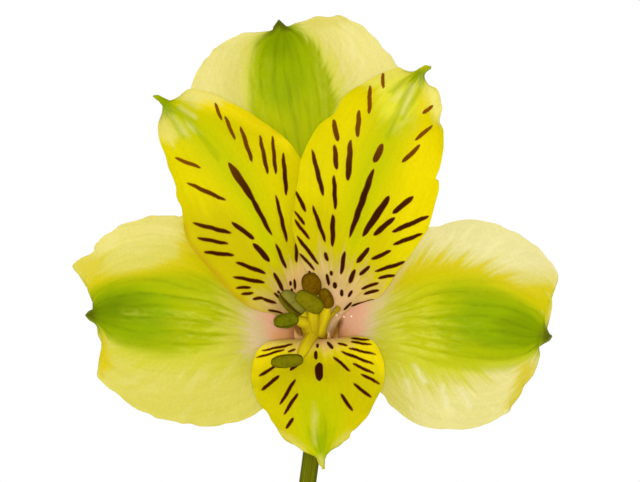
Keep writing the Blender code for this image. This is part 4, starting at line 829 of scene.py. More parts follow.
def by_ring(values, sides):
    """A value for each ring of a closed tube as one for each of its vertices."""
    return np.append(np.repeat(values, sides), (values[0], values[-1]))


def round_ring(rows, sides, span):
    """Values for the vertices of a closed tube that run from span to 0 and back round each ring."""
    return np.append(np.tile(np.abs(np.linspace(-1, 1, sides)) * span, rows), (0, 0))


def add_piece(name, points, faces, material, attributes=None):
    """A smooth mesh object from points in metres, with a number at each vertex for each attribute."""
    mesh = bpy.data.meshes.new(name)
    mesh.from_pydata(np.asarray(points).tolist(), [], faces)
    mesh.shade_smooth()
    for title, values in (attributes or {}).items():
        layer = mesh.attributes.new(title, "FLOAT", "POINT")
        layer.data.foreach_set("value", np.asarray(values, np.float32).ravel())
    mesh.materials.append(material)
    return add_object(name, mesh)


def add_object(name, data):
    """A new object in the scene that holds the data."""
    thing = bpy.data.objects.new(name, data)
    bpy.context.scene.collection.objects.link(thing)
    return thing


def settle(thing, node):
    """The piece stands for its CAD node, which it hides, and rides on the one body."""
    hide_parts(node)
    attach(thing, "root")


# Materials


class Shader:
    """Short ways to lay out a material's nodes."""

    def __init__(self, name):
        """A new material without nodes."""
        self.material = bpy.data.materials.new(name)
        self.material.use_nodes = True
        self.tree = self.material.node_tree
        self.tree.nodes.clear()

    def add(self, kind, **settings):
        """A new node with its settings."""
        node = self.tree.nodes.new(kind)
        for key, value in settings.items():
            setattr(node, key, value)
        return node

    def feed(self, socket, value):
        """The socket takes a link where the value is one, else the value itself."""
        if isinstance(value, bpy.types.NodeSocket):
            self.tree.links.new(value, socket)
        else:
            socket.default_value = value

    def number(self, title):
        """The number that each vertex holds under that title."""
        return self.add("ShaderNodeAttribute", attribute_name=title).outputs["Fac"]

    def mapped(self, vector, title, value):
        """The vector after one change by a mapping node."""
        node = self.add("ShaderNodeMapping")
        self.feed(node.inputs["Vector"], vector)
        node.inputs[title].default_value = value
        return node.outputs[0]

    def place(self):
        """Where a point is, turned so that no pattern lines up with the floor or the walls."""
        return self.mapped(self.add("ShaderNodeTexCoord").outputs["Object"], "Rotation", (0.6, 0.4, 0.9))

    def math(self, operation, first, second=0.0, third=0.0):
        """The result of a math node."""
        node = self.add("ShaderNodeMath", operation=operation)
        for socket, value in zip(node.inputs, (first, second, third)):
            self.feed(socket, value)
        return node.outputs[0]

    def times(self, first, second):
        """The product of two numbers."""
        return self.math("MULTIPLY", first, second)

    def scaled(self, value, scale, more):
        """value times scale, plus more."""
        return self.math("MULTIPLY_ADD", value, scale, more)

    def step(self, value, low, high, bottom=0.0, top=1.0):
        """bottom up to low, top from high on, smooth between them."""
        node = self.add("ShaderNodeMapRange", interpolation_type="SMOOTHSTEP")
        for title, number in (("Value", value), ("From Min", low), ("From Max", high),
                              ("To Min", bottom), ("To Max", top)):
            self.feed(node.inputs[title], number)
        return node.outputs[0]

    def mix(self, share, first, second, blend="MIX"):
        """The first colour with that share of the second."""
        node = self.add("ShaderNodeMix", data_type="RGBA", blend_type=blend)
        for index, value in ((0, share), (6, first), (7, second)):
            self.feed(node.inputs[index], value)
        return node.outputs[2]

    def point(self, x, y, z=0.0):
        """A vector of three numbers."""
        node = self.add("ShaderNodeCombineXYZ")
        for socket, value in zip(node.inputs, (x, y, z)):
            self.feed(socket, value)
        return node.outputs[0]

    def noise(self, vector, scale, detail=2.0, rough=0.5):
        """Noise from 0 to 1; a scale of three numbers stretches it."""
        if isinstance(scale, tuple):
            vector, scale = self.mapped(vector, "Scale", scale), 1.0
        node = self.add("ShaderNodeTexNoise")
        self.feed(node.inputs["Vector"], vector)
        for title, value in (("Scale", scale), ("Detail", detail), ("Roughness", rough)):
            node.inputs[title].default_value = value
        return node.outputs["Fac"]

    def bump(self, height, distance, strength=1.0):
        """The normal of a surface with that relief, in metres."""
        node = self.add("ShaderNodeBump")
        node.inputs["Distance"].default_value = distance
        node.inputs["Strength"].default_value = strength
        self.feed(node.inputs["Height"], height)
        return node.outputs[0]

    def principled(self, base, roughness, normal=None, **constants):
        """The main surface; constants are set by the names of their sockets."""
        node = self.add("ShaderNodeBsdfPrincipled")
        self.feed(node.inputs["Base Color"], base)
        self.feed(node.inputs["Roughness"], roughness)
        if normal:
            self.feed(node.inputs["Normal"], normal)
        for title, value in constants.items():
            node.inputs[title.replace("_", " ")].default_value = value
        return node.outputs[0]

    def tissue(self, base, roughness, normal, level):
        """A dull surface whose weak gloss is tinted, as of plant tissue."""
        return self.principled(base, roughness, normal, Specular_IOR_Level=level, Specular_Tint=SHEEN)

    def done(self, surface, glow=None, share=0.0, normal=None):
        """The material, with a share of light let through in the colour glow."""
        if glow is not None:
            through = self.add("ShaderNodeBsdfTranslucent")
            self.feed(through.inputs["Color"], glow)
            if normal:
                self.feed(through.inputs["Normal"], normal)
            both = self.add("ShaderNodeMixShader")
            for socket, value in zip(both.inputs, (share, surface, through.outputs[0])):
                self.feed(socket, value)
            surface = both.outputs[0]
        self.feed(self.add("ShaderNodeOutputMaterial").inputs["Surface"], surface)
        return self.material


def with_veins(s, base, place, across, lines, blots):
    """The colour with darker veins, and how far each point is out of them."""
    drift = s.noise(place, (0.3, 0.12, 1.0), 1.0)
    vein = s.math("PINGPONG", s.scaled(drift, 1.6, across), VEIN_GAP / 2)
    between = s.step(vein, 0.1, 0.45)
    dark = s.times(s.step(vein, 0.36, 0.04), s.step(blots, 0.35, 0.65, 0.15, 0.75))
    base = s.mix(s.times(dark, s.number("veined")), base, VEIN_SHADE, "MULTIPLY")
    dim = s.times(s.step(lines, 0.32, 0.6, 0.6, 0.0), s.number("veined"))
    return s.mix(dim, base, VEIN_SHADE, "MULTIPLY"), between


def with_streaks(s, base, fine):
    """The colour with the dark streaks, lighter at their frayed edges and fainter on the back."""
    edge = s.scaled(s.math("SUBTRACT", fine, 0.5), 0.14, s.number("streak"))
    shown = s.scaled(s.number("back"), -0.6, 1.0)
    base = s.mix(s.times(s.step(edge, 0.14, 0.0), shown), base, STREAK_EDGE)
    core = s.mix(s.number("red"), STREAK, STREAK_RED)
    return s.mix(s.times(s.step(edge, 0.05, -0.08), shown), base, core)


def petal_material(name, vein_depth):
    """Petal tissue with lengthwise veins and painted satin highlights over the colour that each vertex
    holds.
    """
    s = Shader(name)
    across, along, seed = s.number("across"), s.number("along"), s.number("seed")
    place = s.point(across, along, seed)
    # Each stretched scale is across the petal, along it, and from petal to petal.
    lines = s.noise(place, (1.5, 0.06, 1.0), 3.0, 0.6)
    fine = s.noise(place, (5.0, 0.25, 1.0), 2.0)
    blots = s.noise(place, (1.3, 0.5, 1.0), 3.0, 0.6)
    strokes = s.noise(s.point(s.number("lean"), along, seed), (0.9, 0.3, 1.0), 3.0, 0.6)
    grain = s.noise(s.place(), 2600.0, 2.0)
    base = s.add("ShaderNodeAttribute", attribute_name="paint").outputs["Color"]
    base, between = with_veins(s, base, place, across, lines, blots)
    base = s.mix(s.step(fine, 0.4, 0.75, 0.0, 0.5), base, LIGHTER, "MULTIPLY")
    base = s.mix(s.step(grain, 0.35, 0.65, 0.0, 0.7), base, LIGHTER, "MULTIPLY")
    blot = s.times(s.step(blots, 0.38, 0.7), between)
    base = s.mix(s.times(s.number("mottle"), blot), base, MOTTLE)
    # Painted highlights: whitish satin strokes where the petal's pale number is above 0.
    satin = s.math("MAXIMUM", s.step(strokes, 0.45, 0.75), s.step(lines, 0.5, 0.74, 0.0, 0.4))
    base = s.mix(s.times(s.number("pale"), s.times(satin, 0.5)), base, SATIN_HIGHLIGHT)
    base = with_streaks(s, base, fine)
    normal = s.bump(s.scaled(grain, 0.1, s.scaled(fine, 0.3, lines)), vein_depth * MM)
    body = s.tissue(base, s.step(lines, 0.3, 0.7, 0.42, 0.55), normal, 0.03)
    return s.done(body, base, THROUGH, normal)


def anther_material(name, brown, olive, grey):
    """Matte pollen sac with fine pollen on it, browner round its sides, and a darker open slit."""
    s = Shader(name)
    cloud = s.noise(s.place(), 520.0, 3.0)
    specks = s.noise(s.place(), 1700.0, 3.0, 0.7)
    pollen = s.noise(s.place(), 5200.0, 2.0, 0.7)
    base = s.mix(s.step(cloud, 0.4, 0.62, olive * 0.8, 0.4 + olive * 0.6), ANTHER_GREEN, ANTHER_OLIVE)
    base = s.mix(s.times(s.number("lobe"), grey), base, ANTHER_GREY)
    rim = s.step(s.scaled(cloud, 0.8, s.number("rim")), 0.75, 1.3, brown, max(brown, 0.8))
    base = s.mix(rim, base, ANTHER_BROWN)
    base = s.mix(s.step(specks, 0.5, 0.3, 0.0, 0.55), base, ANTHER_SPECK, "MULTIPLY")
    base = s.mix(s.step(specks, 0.5, 0.7, 0.0, 0.3), base, POLLEN)
    base = s.mix(s.step(pollen, 0.5, 0.75, 0.0, 0.3), base, POLLEN)
    base = s.mix(s.number("slit"), base, SLIT)
    normal = s.bump(s.scaled(cloud, 2.0, pollen), 0.09 * MM)
    return s.done(s.tissue(base, 0.8, normal, 0.02))


def thread_material(name, light, dark):
    """Juicy filament tissue, striped along its length."""
    s = Shader(name)
    stripes = s.noise(s.point(s.number("turn"), s.number("along")), (1.3, 0.12, 1.0), 2.0)
    base = s.mix(s.step(stripes, 0.35, 0.7), light, dark)
    normal = s.bump(stripes, 0.05 * MM)
    return s.done(s.tissue(base, s.step(stripes, 0.3, 0.7, 0.35, 0.5), normal, 0.05), base, THROUGH)


def stem_material():
    """Ridged green stalk, paler where it was cut and in the water, and the throat on its top with brown
    painted shade where its gaps lie.
    """
    s = Shader("stem")
    stripes = s.noise(s.point(s.number("turn"), s.number("along")), (1.6, 0.03, 1.0), 3.0)
    mottle = s.noise(s.place(), 700.0, 3.0)
    base = s.mix(s.step(stripes, 0.35, 0.7), STEM_GREEN, STEM_LIGHT)
    base = s.mix(s.times(s.step(mottle, 0.4, 0.7), 0.35), base, STEM_GREEN)
    base = s.mix(s.number("cut"), base, CUT_WHITE)
    # Painted shade: brown where the throat's gaps lie, over the throat's colour on the ovary's top.
    inside = s.mix(s.number("mark"), NECTARY, GAP_SHADE_BROWN)
    inside = s.mix(s.step(mottle, 0.45, 0.75, 0.0, 0.3), inside, GAP_SHADE_BROWN)
    base = s.mix(s.number("nectary"), base, inside)
    base = s.mix(s.times(s.number("under"), 0.5), base, WET_GREEN)
    normal = s.bump(s.scaled(mottle, 0.3, stripes), 0.06 * MM)
    return s.done(s.tissue(base, s.step(mottle, 0.3, 0.7, 0.4, 0.55), normal, 0.04), base, 0.12)


def glass_material():
    """Clear glass with the faint waves of a moulded bottle."""
    s = Shader("clear glass")
    waves = s.noise(s.mapped(s.place(), "Scale", (1.0, 1.0, 0.35)), 90.0, 2.0)
    normal = s.bump(waves, 0.25 * MM, 0.35)
    rough = s.step(s.noise(s.place(), 35.0, 3.0), 0.3, 0.8, 0.005, 0.03)
    tint = s.mix(s.step(waves, 0.3, 0.7), *GLASS_TINTS)
    return s.done(s.principled(tint, rough, normal, Transmission_Weight=1.0, IOR=1.5))


def water_material():
    """Clear water, a little uneven."""
    s = Shader("water")
    waves = s.noise(s.place(), 60.0, 1.0)
    tint = s.mix(s.step(waves, 0.3, 0.7), *WATER_TINTS)
    normal = s.bump(waves, 0.1 * MM, 0.2)
    rough = s.step(waves, 0.3, 0.8, 0.0, 0.01)
    return s.done(s.principled(tint, rough, normal, Transmission_Weight=1.0, IOR=1.33))


def nectar_material():
    """Faintly yellow near-white drops with a little gloss, painted as the glints of wet nectar."""
    s = Shader("nectar")
    film = s.noise(s.place(), 3000.0)
    tint = s.mix(film, *NECTAR_GLINT_TINTS)
    return s.done(s.principled(tint, s.step(film, 0.3, 0.7, 0.05, 0.12), IOR=1.4))


def floor_material():
    """Pale matte card."""
    s = Shader("pale floor")
    base = s.mix(s.step(s.noise(s.place(), 9.0, 4.0), 0.3, 0.7), *FLOOR_TINTS)
    return s.done(s.principled(base, 0.7, s.bump(s.noise(s.place(), 900.0, 3.0), 0.05 * MM)))


# Petals


def on_ovary(radius, angle):
    """A point of the bloom's frame on a ring over the ovary's flat top."""
    turn = math.radians(angle)
    rise, lean = math.cos(BLOOM_TILT), math.sin(BLOOM_TILT)
    across = np.array((math.cos(turn), math.sin(turn) * rise, -math.sin(turn) * lean))
    return THROAT_BACK + radius * across + CLAW_GAP * np.array((0.0, lean, rise))


def petal_rows(name):
    """The edge, midrib and other edge of the petal at its claw, its stations and its tip."""
    angle, ring, stations, tip = PETALS[name]
    spread = CLAW_SPREAD[ring]
    claw = [on_ovary(ring, angle + turn) for turn in (spread, 0, -spread)]
    stations = np.array(stations, float).reshape(-1, 3, 3)
    pull = unit(stations[-1, 0] - stations[-1, 2]) * TIP_HALF
    end = np.array(tip)
    return np.array([claw, *stations, (end + pull, end, end - pull)], float)


def even_steps(rows, count):
    """Values of u from 0 to 1 at which the blade's rows lie about evenly apart."""
    u = np.linspace(0, 1, RUN_SAMPLES)
    run = sum(lengths(smooth(rows[:, k], u)) for k in range(3)) / 3
    share = EVEN * run / run[-1] + (1 - EVEN) * u
    return np.interp(np.linspace(0, 1, count), share, u)


def outline_shift(edge, outline):
    """How far each point of an edge moves, right and up, to lie on the outline that the view shows."""
    seen = as_seen(edge)
    fine = smooth(outline, np.linspace(0, 1, OUTLINE_SAMPLES * len(outline)))
    start = int(np.argmin(np.linalg.norm(seen - fine[0], axis=1)))
    run, fine_run = lengths(seen[start:]), lengths(fine)
    share = run / run[-1] * fine_run[-1]
    goal = np.stack([np.interp(share, fine_run, fine[:, k]) for k in range(2)], axis=1)
    shift = np.zeros_like(seen)
    shift[start:] = goal - seen[start:]
    before = lengths(edge)[start] - lengths(edge)[:start]
    shift[:start] = shift[start] * ease(before, OUTLINE_FADE, 0)[:, None]
    return shift * (SIGHT - edge[:, 2:3]) / SIGHT


def ruffles(u, v, angle):
    """How far forward the slow and the fine waves of a petal's margin push each point."""
    wave = np.sin(2 * math.pi * RUFFLE_WAVES * u + angle + RUFFLE_LAG * v)
    slow = RUFFLE * wave * np.abs(v) ** RUFFLE_POWER * np.sin(math.pi * u) ** 2
    frill = np.sin(2 * math.pi * FRILL_WAVES * u + FRILL_LAG * v + angle)
    frill = frill * np.sin(2 * math.pi * FRILL_BEAT * u + 2 * angle)
    return slow + FRILL * frill * np.abs(v) ** FRILL_POWER * np.sin(math.pi * u)


def petal_surface(name, row_count, column_count):
    """Points of the petal's middle surface, with how far along (u) and across (v) each one is."""
    rows = petal_rows(name)
    u = even_steps(rows, row_count)
    v = np.linspace(-1, 1, column_count)
    first, rib, last = (smooth(rows[:, k], u) for k in range(3))
    arch = (first + last) / 2 - rib
    spots = (rib[:, None] + (last - first)[:, None] * v[None, :, None] / 2
             + arch[:, None] * v[None, :, None] ** 2)
    for edge, outline, side in zip((first, last), OUTLINES[name], (-1, 1)):
        shift = outline_shift(edge, as_points(outline))
        near = np.clip(side * v, 0, 1) ** EDGE_POWER
        spots[..., :2] += shift[:, None] * near[None, :, None]
    u, v = np.broadcast_arrays(u[:, None], v[None, :])
    spots[..., 2] += ruffles(u, v, PETALS[name][0])
    return spots, u, v


def surface_normals(spots):
    """The way that each point of the surface faces, forward on the whole."""
    normal = unit(np.cross(np.gradient(spots, axis=1), np.gradient(spots, axis=0)))
    return normal if normal[..., 2].mean() > 0 else -normal


def streak_distance(places, streaks):
    """Signed distance, in millimetres, to the nearest of the tapered streaks: below 0 inside."""
    places = places + WOBBLE * np.sin(places[..., ::-1] * WOBBLE_RATE + (0.0, 1.9))
    nearest = np.full(places.shape[:-1], 9.0)
    blunt, round_off = STREAK_TAPER
    for x0, y0, x1, y1, width0, width1 in streaks:
        start, way = np.array((x0, y0)), np.array((x1 - x0, y1 - y0))
        t = np.clip(((places - start) @ way) / way.dot(way), 0, 1)
        away = np.linalg.norm(places - start - t[..., None] * way, axis=-1)
        taper = STREAK_SWELL * (1 - np.abs(2 * t - 1) ** blunt) ** round_off
        nearest = np.minimum(nearest, away - (width0 + (width1 - width0) * t) / 2 * taper)
    return nearest


def depth_inside(places, outline):
    """Signed distance, in millimetres, to a closed outline: above 0 inside."""
    corners = as_points(outline)
    nearest = np.full(places.shape[:-1], 1e9)
    inside = np.zeros(places.shape[:-1], bool)
    for start, end in zip(corners, np.roll(corners, -1, axis=0)):
        way = end - start
        t = np.clip(((places - start) @ way) / way.dot(way), 0, 1)
        nearest = np.minimum(nearest, np.linalg.norm(places - start - t[..., None] * way, axis=-1))
        crosses = (start[1] > places[..., 1]) != (end[1] > places[..., 1])
        cut = start[0] + (places[..., 1] - start[1]) / (way[1] or 1e-9) * way[0]
        inside ^= crosses & (places[..., 0] < cut)
    return np.where(inside, nearest, -nearest)


def area_share(places, outline, soft, strength):
    """How strongly each place lies in a softly edged area."""
    return strength * ease(depth_inside(places, outline), -soft / 2, soft / 2)


def strongest(seen, areas):
    """How strongly each point lies in any of the areas."""
    share = np.zeros(seen.shape[:-1])
    for soft, strength, outline in areas:
        share = np.maximum(share, area_share(seen, outline, soft, strength))
    return share


def vein_waves(across, seed):
    """A value from -1 to 1 for each vein, for how far colours run out along it."""
    return sum(share * np.sin(2 * math.pi * across / length + seed * PETAL_PHASE + length * WAVE_PHASE)
               for length, share in VEIN_WAVES)


def vein_ways(name, seen, across, lean, seed):
    """How far and which way colours run out along the veins and the satin strokes at each point."""
    way = unit(np.gradient(seen, axis=0), 1e-6)
    outward = unit(np.gradient(seen, axis=1) * np.where(across < 0, -1, 1)[..., None], 1e-6)
    stroke = unit(way + outward * np.where(across < 0, *LEANS[name])[..., None], 1e-6)
    return (vein_waves(across, seed)[..., None] * way,
            vein_waves(lean * STROKE_RATE, seed + STROKE_SEED)[..., None] * stroke)


def petal_paint(name, seen, across, lean, seed):
    """The colour at each point, and how green it is."""
    along_veins, along_strokes = vein_ways(name, seen, across, lean, seed)
    paint = np.broadcast_to(np.array(GROUND[name]), (*seen.shape[:-1], 4)).copy()
    green = np.zeros(seen.shape[:-1])
    for tint, soft, feather, strength, outline in ZONES[name]:
        run = along_veins * feather if feather > 0 else along_strokes * -feather
        mask = area_share(seen + run, outline, soft, strength)
        paint += mask[..., None] * (np.array(PALETTE[tint]) - paint)
        green += mask * (float(tint.startswith("leaf")) - green)
    paint[..., :3] *= PIGMENT
    return paint, green


def blade_faces(row_count, column_count):
    """Faces of a blade whose front vertices come first and its back ones after them."""
    count = row_count * column_count
    faces = grid_faces(row_count, column_count)
    number = np.arange(count).reshape(row_count, column_count)
    loop = np.concatenate((number[0, :-1], number[:-1, -1], number[-1, :0:-1], number[:0:-1, 0]))
    after = np.roll(loop, -1)
    rim = np.stack((loop, after, after + count, loop + count), axis=-1)
    return np.vstack((faces, faces[:, ::-1] + count, rim[:, ::-1])).tolist()


def petal_numbers(name, spots, u, v, seed):
    """The paint at each point, and the numbers that the petal's material reads there."""
    width = np.linalg.norm(spots[:, -1] - spots[:, 0], axis=-1).max()
    across = v * width / 2 * (1 - VEIN_SPREAD * u)
    along = np.broadcast_to(lengths(spots[:, v.shape[1] // 2])[:, None], v.shape)
    lean = np.abs(across) - np.where(v < 0, *LEANS[name]) * along + np.where(v < 0, SIDES_APART, 0.0)
    seen = as_seen(spots)
    paint, green = petal_paint(name, seen, across, lean, seed)
    return paint, {
        "across": across, "along": along, "lean": lean,
        "seed": np.full(v.shape, SEED_STEP * seed),
        # Where the painted satin highlights show.
        "pale": strongest(seen, SATIN_HIGHLIGHT_AREAS.get(name, ())),
        "mottle": strongest(seen, MOTTLED.get(name, ())),
        "streak": streak_distance(seen, STREAKS.get(name, ())),
        "red": ease(np.linalg.norm(seen - RED_FROM, axis=-1), *RED_RANGE),
        "veined": VEINED * (VEINED_PALE + (1 - VEINED_PALE) * green),
    }


def petal(name, material, row_count, column_count, seed):
    """A blade with a front, a back and a rim, thinner towards its margin."""
    spots, u, v = petal_surface(name, row_count, column_count)
    thick = MARGIN_THICK + (PETAL_THICK - MARGIN_THICK) * (1 - np.abs(v) ** MARGIN_POWER)
    thick = thick * (1 + CLAW_THICKER * (1 - u) ** 2)
    half = surface_normals(spots) * thick[..., None] / 2
    points = in_world(np.vstack(((spots + half).reshape(-1, 3), (spots - half).reshape(-1, 3))))
    paint, numbers = petal_numbers(name, spots, u, v, seed)
    numbers = {title: np.tile(values.ravel(), 2) for title, values in numbers.items()}
    numbers["back"] = np.repeat((0.0, 1.0), v.size)
    thing = add_piece("petal_" + name, points, blade_faces(row_count, column_count), material, numbers)
    thing.data.set_sharp_from_angle(angle=RIM_ANGLE)
    layer = thing.data.attributes.new("paint", "FLOAT_COLOR", "POINT")
    layer.data.foreach_set("color", np.tile(paint.reshape(-1, 4), (2, 1)).astype(np.float32).ravel())
    settle(thing, name)
    return thing


def petals():
    """All six petals. Each one's number sets how its veins fall."""
    outer, inner = petal_material("outer petal", 0.02), petal_material("inner petal", 0.03)
    return [petal(name, outer if name.startswith("outer") else inner, *grid, seed)
            for seed, (name, grid) in enumerate(GRIDS.items(), 1)]


# Stamens, style and nectar


def thread_line(place, way):
    """The line of a filament: up in the bundle, then its own way."""
    points = [np.array(p) for p in BUNDLE]
    if place is not None:
        turn = math.radians(place)
        points = [p + np.array((math.cos(turn), math.sin(turn), 0.0)) * BUNDLE_RADIUS for p in points]
    points += [np.array(p, float) for p in way]
    return smooth(points, np.linspace(0, 1, THREAD_STEPS))


def thread(name, line, radii, material, sides=THREAD_SIDES):
    """A round thread along a line, in millimetres."""
    points, faces = closed_tube(sweep(in_world(line), np.asarray(radii) * MM, sides))
    numbers = {"along": by_ring(lengths(line), sides), "turn": round_ring(len(line), sides, THREAD_SPAN)}
    return add_piece(name, points, faces, material, numbers)


def anther_form(facing, opening, t, turn):
    """How far out an anther reaches, as a share of half its width, and its slit, all over."""
    away = (turn - math.radians(facing) + math.pi) % (2 * math.pi) - math.pi
    far = np.abs(np.abs(away) - math.pi)
    ends = np.sin(t) ** SLIT_ENDS
    slit = np.exp(-(away / (SLIT_WIDTH[0] + SLIT_WIDTH[1] * opening)) ** 2) * ends
    groove = np.exp(-(far / GROOVE_WIDTH) ** 2) * ends
    form = (1 + LOBES * np.cos(2 * away) - (SLIT_DEPTH[0] + SLIT_DEPTH[1] * opening) * slit
            - GROOVE_DEPTH * groove)
    for height, waves, along, share in BUMPS:
        form = form + height * np.sin(waves * turn + along * t + share * facing)
    girth = 1 + UNEVEN[0] * np.cos(t) + UNEVEN[1] * np.sin(3 * t + facing)
    return np.sin(t) ** BLUNT * girth * form, slit, away


def anther(name, first, last, width, facing, opening, material, rows=46, sides=48):
    """Two plump lobes side by side, with a groove between them and one slit that has opened."""
    middle, half = (first + last) / 2, np.linalg.norm(last - first) / 2
    axis = (last - first) / (2 * half)
    front = unit(np.array((0.0, 0.0, 1.0)) - axis * axis[2])
    side = np.cross(axis, front)
    t, turn = np.linspace(POLE, math.pi - POLE, rows)[:, None], around(sides)[None, :]
    form, slit, away = anther_form(facing, opening, t, turn)
    reach = width / 2 * form
    spots = (middle + axis * (-np.cos(t) * half)[..., None]
             + front * (np.cos(turn) * reach)[..., None] + side * (np.sin(turn) * reach)[..., None])
    points, faces = closed_tube(in_world(spots.reshape(-1, 3)).reshape(rows, sides, 3))
    numbers = {"slit": slit * (SLIT_DARK[0] + SLIT_DARK[1] * opening), "lobe": ease(away, *LOBE_EDGE),
               "rim": (1 - np.cos(turn)) / 2 + TIP_BROWN * np.cos(t) ** 4}
    numbers = {title: np.append(np.broadcast_to(values, (rows, sides)).ravel(), (0, 0))
               for title, values in numbers.items()}
    return add_piece(name, points, faces, material, numbers)


def joined(name, pieces):
    """One object from several, which keeps their materials."""
    for piece in bpy.context.selected_objects:
        piece.select_set(False)
    for piece in pieces:
        piece.select_set(True)
    bpy.context.view_layer.objects.active = pieces[0]
    bpy.ops.object.join()
    whole = bpy.context.view_layer.objects.active
    whole.name = name
    return whole


def stamens():
    """Six filaments from one bundle, each with its anther."""
    filament = thread_material("filament", FILAMENT, FILAMENT_DARK)
    root, lost, neck, start = FILAMENT_TAPER
    for name, (place, way, first, last, width, entry, facing, *tints, opening) in STAMENS.items():
        first, last = np.array(first), np.array(last)
        line = thread_line(place, (*way, first + (last - first) * entry))
        t = np.linspace(0, 1, len(line))
        radii = FILAMENT_RADIUS * (root - lost * t - neck * ease(t, start, 1.0))
        stalk = thread(name + "_filament", line, radii, filament)
        material = anther_material(name + " anther", *tints)
        sac = anther(name + "_anther", first, last, width, facing, opening, material)
        settle(joined(name + "_fine", [sac, stalk]), name)


def style():
    """The style, with the short arms of its stigma spread at the end."""
    place, way = STYLE
    line = thread_line(place, way)
    radii = FILAMENT_RADIUS * (1.0 - STYLE_TAPER * np.linspace(0, 1, len(line)))
    material = thread_material("style", STYLE_COLOUR, FILAMENT_DARK)
    pieces = [thread("style_thread", line, radii, material)]
    end = line[-1]
    onward = unit(end - line[-WAY_POINTS])
    side = unit(np.cross(onward, (0.0, 0.0, 1.0)))
    other = np.cross(onward, side)
    t = np.linspace(0, 1, ARM_STEPS)
    for k in range(ARMS):
        turn = 2 * math.pi * k / ARMS + ARM_TURN
        out = math.cos(turn) * side + math.sin(turn) * other
        arm = smooth([end + onward * on + out * off for on, off in ARM_PATH], t)
        pieces.append(thread(f"style_arm_{k}", arm, ARM_RADIUS * (1 - ARM_TAPER * t ** 2), material,
                             ARM_SIDES))
    settle(joined("style_fine", pieces), "style")


def drop(name, place, normal, radius, material, rows=12, sides=20):
    """A flattened bead on a surface."""
    t = np.linspace(DROP_POLE, math.pi - DROP_POLE, rows)
    line = np.array(place) + np.array(normal) * (-np.cos(t) * radius * DROP_FLATTEN)[:, None]
    points, faces = closed_tube(sweep(line, np.sin(t) * radius, sides))
    return add_piece(name, points, faces, material)


def first_hit(trees, eye, aim):
    """The place and the normal where a line of sight first meets one of the surfaces, or None."""
    hits = [tree.ray_cast(eye, aim.normalized()) for tree in trees]
    hits = [hit for hit in hits if hit[0] is not None]
    if not hits:
        return None
    place, normal, _, _ = min(hits, key=lambda hit: hit[3])
    return place, -normal if normal.dot(aim) > 0 else normal


def nectar(surfaces):
    """Drops on the petals' claws, each seated where the line of sight meets a petal."""
    depsgraph = bpy.context.evaluated_depsgraph_get()
    trees = [BVHTree.FromObject(thing, depsgraph) for thing in surfaces]
    material = nectar_material()
    drops = []
    eye = Vector(in_world((*VIEW_MIDDLE, SIGHT))[0])
    for number, (right, up, radius) in enumerate(NECTAR):
        hit = first_hit(trees, eye, Vector(in_world((right, up, 0.0))[0]) - eye)
        if hit:
            drops.append(drop(f"nectar_{number}", *hit, radius * MM, material))
    if drops:
        whole = joined("nectar", drops)
        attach(whole, "root")


# Stem


def stem_line(height):
    """The point at a height, in millimetres, on the stem's straight run."""
    reach = NECK_RADIUS - WALL - STEM_RADIUS - GAP
    at_mouth = np.array((STEM_ASIDE, reach - STEM_FREE, BOTTLE_HEIGHT))
    return at_mouth + LEAN * ((height - BOTTLE_HEIGHT) / LEAN[2])


def stem_path():
    """The stem's middle line in millimetres, its radius at each point, and the ovary's base and way."""
    facing = np.array((0.0, -math.cos(BLOOM_TILT), math.sin(BLOOM_TILT)))
    base = in_world(THROAT_BACK)[0] / MM - facing * OVARY_LENGTH
    mouth, leaving = stem_line(BOTTLE_HEIGHT), stem_line(BOTTLE_HEIGHT + BEND_FROM)
    bend = [mouth, leaving, leaving + BEND[0], base + BEND[1], base + BEND[2], base]
    foot = stem_line(FLOOR + GAP + STEM_RADIUS / 4)
    straight = [foot + (mouth - foot) * t for t in np.linspace(0, 1, STALK_STEPS)[:-1]]
    line = [*straight, *smooth(bend, np.linspace(0, 1, BEND_STEPS))]
    radii = [STALK_RADIUS] * len(line)
    soon, roundly = OVARY_SWELL
    for t in np.linspace(0, 1, OVARY_STEPS + 1)[1:]:
        line.append(base + facing * OVARY_LENGTH * t)
        swell = math.sin(min(1.0, t * soon) * math.pi / 2) ** roundly
        radii.append(STALK_RADIUS + (OVARY_RADIUS - STALK_RADIUS) * swell)
    return np.array(line), np.array(radii), base, facing


def ribs(out, facing, along):
    """How far each point of the ovary moves out, for the ribs along it."""
    side = np.array((1.0, 0.0, 0.0))
    angle = np.arctan2(out @ np.cross(facing, side), out @ side)
    rise = RIB_HEIGHT * np.sin(along * math.pi)[:, None] * np.cos(OVARY_RIBS * angle)
    return unit(out) * rise[..., None]


def stem_rings(line, radii, facing, along):
    """Rings of the ridged stalk and the ribbed ovary, with those of its domed top, in metres."""
    rings = sweep(line * MM, radii * MM, STEM_SIDES)
    middle = rings.mean(axis=1, keepdims=True)
    ridges = 1 + RIDGE * np.cos(STALK_RIDGES * around(STEM_SIDES))[None, :, None]
    rings = middle + (rings - middle) * ridges
    rings = rings + ribs((rings - middle) / MM, facing, along) * MM
    top = rings[-1].mean(axis=0)
    lid = [top + (rings[-1] - top) * k + facing * TOP_DOME * (1 - k * k) * MM
           for k in np.linspace(1, 0, TOP_RINGS + 1)[1:-1]]
    return np.concatenate((rings, lid))


